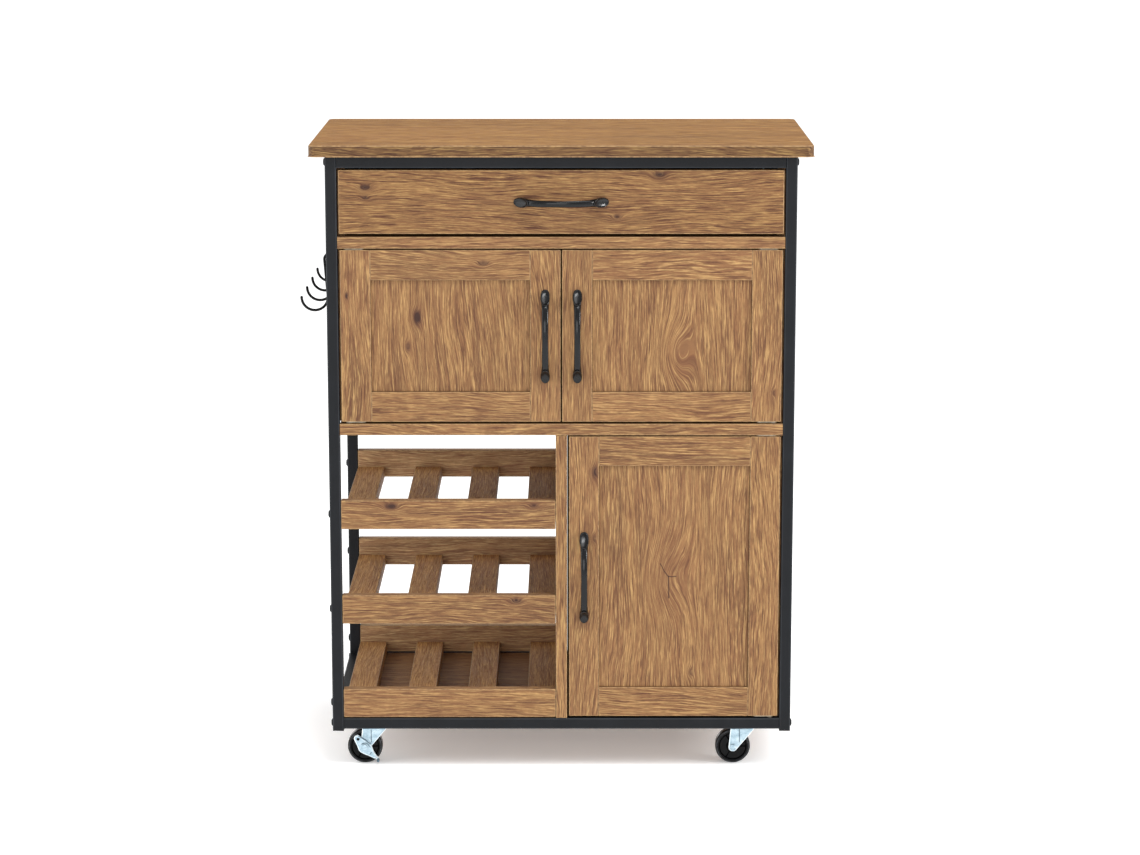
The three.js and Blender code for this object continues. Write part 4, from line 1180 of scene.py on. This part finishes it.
def add_brake_lever(corner, side):
    """The lever, its folded upper edge, the raised crescent round its boss, and its pedal."""
    node = f"{corner}_brake_lever"
    low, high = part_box(node)
    plate_low, plate_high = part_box(f"{corner}_caster_plate")
    axle_x = (plate_low.x + plate_high.x) / 2 - TRAIL
    near = high.y if side < 0 else low.y
    outward = -1.0 if side < 0 else 1.0
    upright = Matrix(((1, 0, 0, 0), (0, 0, outward, 0), (0, 1, 0, 0), (0, 0, 0, 1)))
    base = Matrix.Translation((axle_x, near, AXLE_HEIGHT)) @ upright
    bm = bmesh.new()
    # The lever's rims are the bright zinc: a painted highlight.
    prism(bm, smooth_outline(LEVER_OUTLINE, 4), LEVER_SHEET, base, 0.0007, edge=2, segments=2)
    fold = [(-0.0086, 0.0176), (0.0084, 0.0052), (0.0078, 0.0044), (-0.0092, 0.0168)]
    fold_place = base @ Matrix.Translation((0.0, 0.0, LEVER_SHEET * 0.9))
    prism(bm, fold, 0.0026, fold_place, 0.0003, edge=0, segments=2)
    face_place = base @ Matrix.Translation((0.0, 0.0, LEVER_SHEET))
    # The crescent round the boss and the rib are raised in darker zinc: painted shade along these marks.
    crescent = sector_outline(0.0061, 0.0071, math.radians(10), math.radians(135), 14)
    prism(bm, crescent, LEVER_RELIEF, face_place, 0.0002, face=3, edge=3, segments=2)
    rib = [(0.0066, -0.0102), (0.0074, -0.0108), (0.0098, -0.0076), (0.009, -0.007)]
    prism(bm, rib, LEVER_RELIEF, face_place, 0.0002, face=3, edge=3, segments=2)
    ring = [(0.0022, 0.0), (0.0029, 0.0), (0.0028, 0.0004), (0.0022, 0.0005)]
    hole = base @ Matrix.Translation((-0.0097, 0.0124, LEVER_SHEET))
    lathe(bm, ring, hole, sides=20)
    # A flat black disc fills the hole in the lever: painted shade where the hole is.
    lathe(bm, [(0.0, 0.0), (0.0022, 0.0), (0.0022, 0.0001), (0.0, 0.0001)], hole, sides=20, face=1)
    # The pedal's round knob is drawn in the same darker zinc.
    pedal = [(0.0, 0.0), (0.0021, 0.0), (0.0021, 0.0078), (0.0018, 0.0082), (0.0, 0.0084)]
    lathe(bm, pedal, base @ Matrix.Translation((0.0193, -0.0181, 0.001)), sides=20, face=3)
    materials = [ZINC, BLACK_PLASTIC_AND_HOLE_SHADE, ZINC_RIM_HIGHLIGHT, ZINC_SHADE]
    add_piece(f"{node}_piece", bm, materials, f"{corner}_brake", [node])


def add_casters():
    for corner in CORNERS:
        add_caster_plate(corner)
        add_fork(corner)
        add_wheel(corner)
    for corner, side in LEVER_SIDES.items():
        add_brake_lever(corner, side)


# ---- Stage ----
FLOOR_SHADE = srgb(247, 247, 247)
FLOOR_LIGHT = srgb(251, 251, 251)


def add_floor():
    half = 40.0
    bm = bmesh.new()
    corners = [(-half, -half), (half, -half), (half, half), (-half, half)]
    bm.faces.new([bm.verts.new((x, y, 0.0)) for x, y in corners])
    mesh = bpy.data.meshes.new("floor")
    bm.to_mesh(mesh)
    bm.free()
    g = Graph("floor_white")
    clouds = g.noise(g.place(), (1.4, 1.4, 1.4), 2.0)
    g.surface(Base_Color=g.ramp(clouds, [(0.3, FLOOR_SHADE), (0.7, FLOOR_LIGHT)]), Specular_IOR_Level=0.05)
    g.surface(Roughness=g.remap(clouds, 0.3, 0.7, 0.97, 0.92))
    # The floor glows faintly: painted light that lifts the cart's shadows on the floor and lights the cart
    # from below.
    g.surface(Emission_Color=(1.0, 1.0, 1.0, 1.0), Emission_Strength=0.2)
    mesh.materials.append(g.material)
    floor = bpy.data.objects.new("floor", mesh)
    bpy.context.scene.collection.objects.link(floor)


def add_area_light(name, place, target, size, power):
    data = bpy.data.lights.new(name, "AREA")
    data.shape = "RECTANGLE"
    data.size, data.size_y = size
    data.energy = power
    light = bpy.data.objects.new(name, data)
    light.location = place
    light.rotation_mode = "QUATERNION"
    light.rotation_quaternion = (Vector(target) - Vector(place)).to_track_quat("-Z", "Y")
    bpy.context.scene.collection.objects.link(light)


def add_lights():
    world = bpy.data.worlds.new("studio")
    world.use_nodes = True
    background = world.node_tree.nodes["Background"]
    background.inputs["Color"].default_value = (1.0, 1.0, 1.0, 1.0)
    background.inputs["Strength"].default_value = 0.76
    bpy.context.scene.world = world
    data = bpy.data.lights.new("sun", "SUN")
    data.energy = 1.15
    data.angle = math.radians(38)
    sun = bpy.data.objects.new("sun", data)
    sun.rotation_mode = "QUATERNION"
    sun.rotation_quaternion = Vector((-0.34, 0.3, -0.89)).to_track_quat("-Z", "Y")
    bpy.context.scene.collection.objects.link(sun)
    add_area_light("right_key", (2.6, -1.1, 1.4), (0.1, -0.1, 0.5), (0.5, 0.9), 52.0)
    add_area_light("front_fill", (-0.5, -4.3, 1.3), (0.0, 0.0, 0.45), (2.2, 1.4), 34.0)
    add_area_light("left_fill", (-2.4, -0.4, 1.2), (0.0, 0.0, 0.35), (2.8, 2.2), 38.0)
    add_area_light("high_strip", (0.4, -1.5, 2.9), (0.0, -0.1, 0.5), (1.2, 0.35), 22.0)


def add_camera():
    data = bpy.data.cameras.new("camera")
    data.sensor_width = 36.0
    data.lens = CAMERA_LENS
    data.shift_y = CAMERA_SHIFT_Y
    camera = bpy.data.objects.new("camera", data)
    camera.location = CAMERA_PLACE
    camera.rotation_euler = (math.pi / 2 - CAMERA_PITCH, 0.0, 0.0)
    bpy.context.scene.collection.objects.link(camera)
    bpy.context.scene.camera = camera
    bpy.context.scene.view_settings.view_transform = "Standard"


add_camera()
add_lights()
add_floor()
add_frame()
add_bolts()
add_boards()
add_back_nails()
add_racks()
add_drawer()
add_handle("drawer_handle", "drawer")
add_runner("left", -1)
add_runner("right", 1)
add_doors()
for door_name, door_side in DOORS.items():
    add_hinge(door_name, door_side)
    add_catch(door_name, door_side)
    add_handle(f"{door_name}_handle", door_name)
add_rod()
add_hooks()
add_casters()
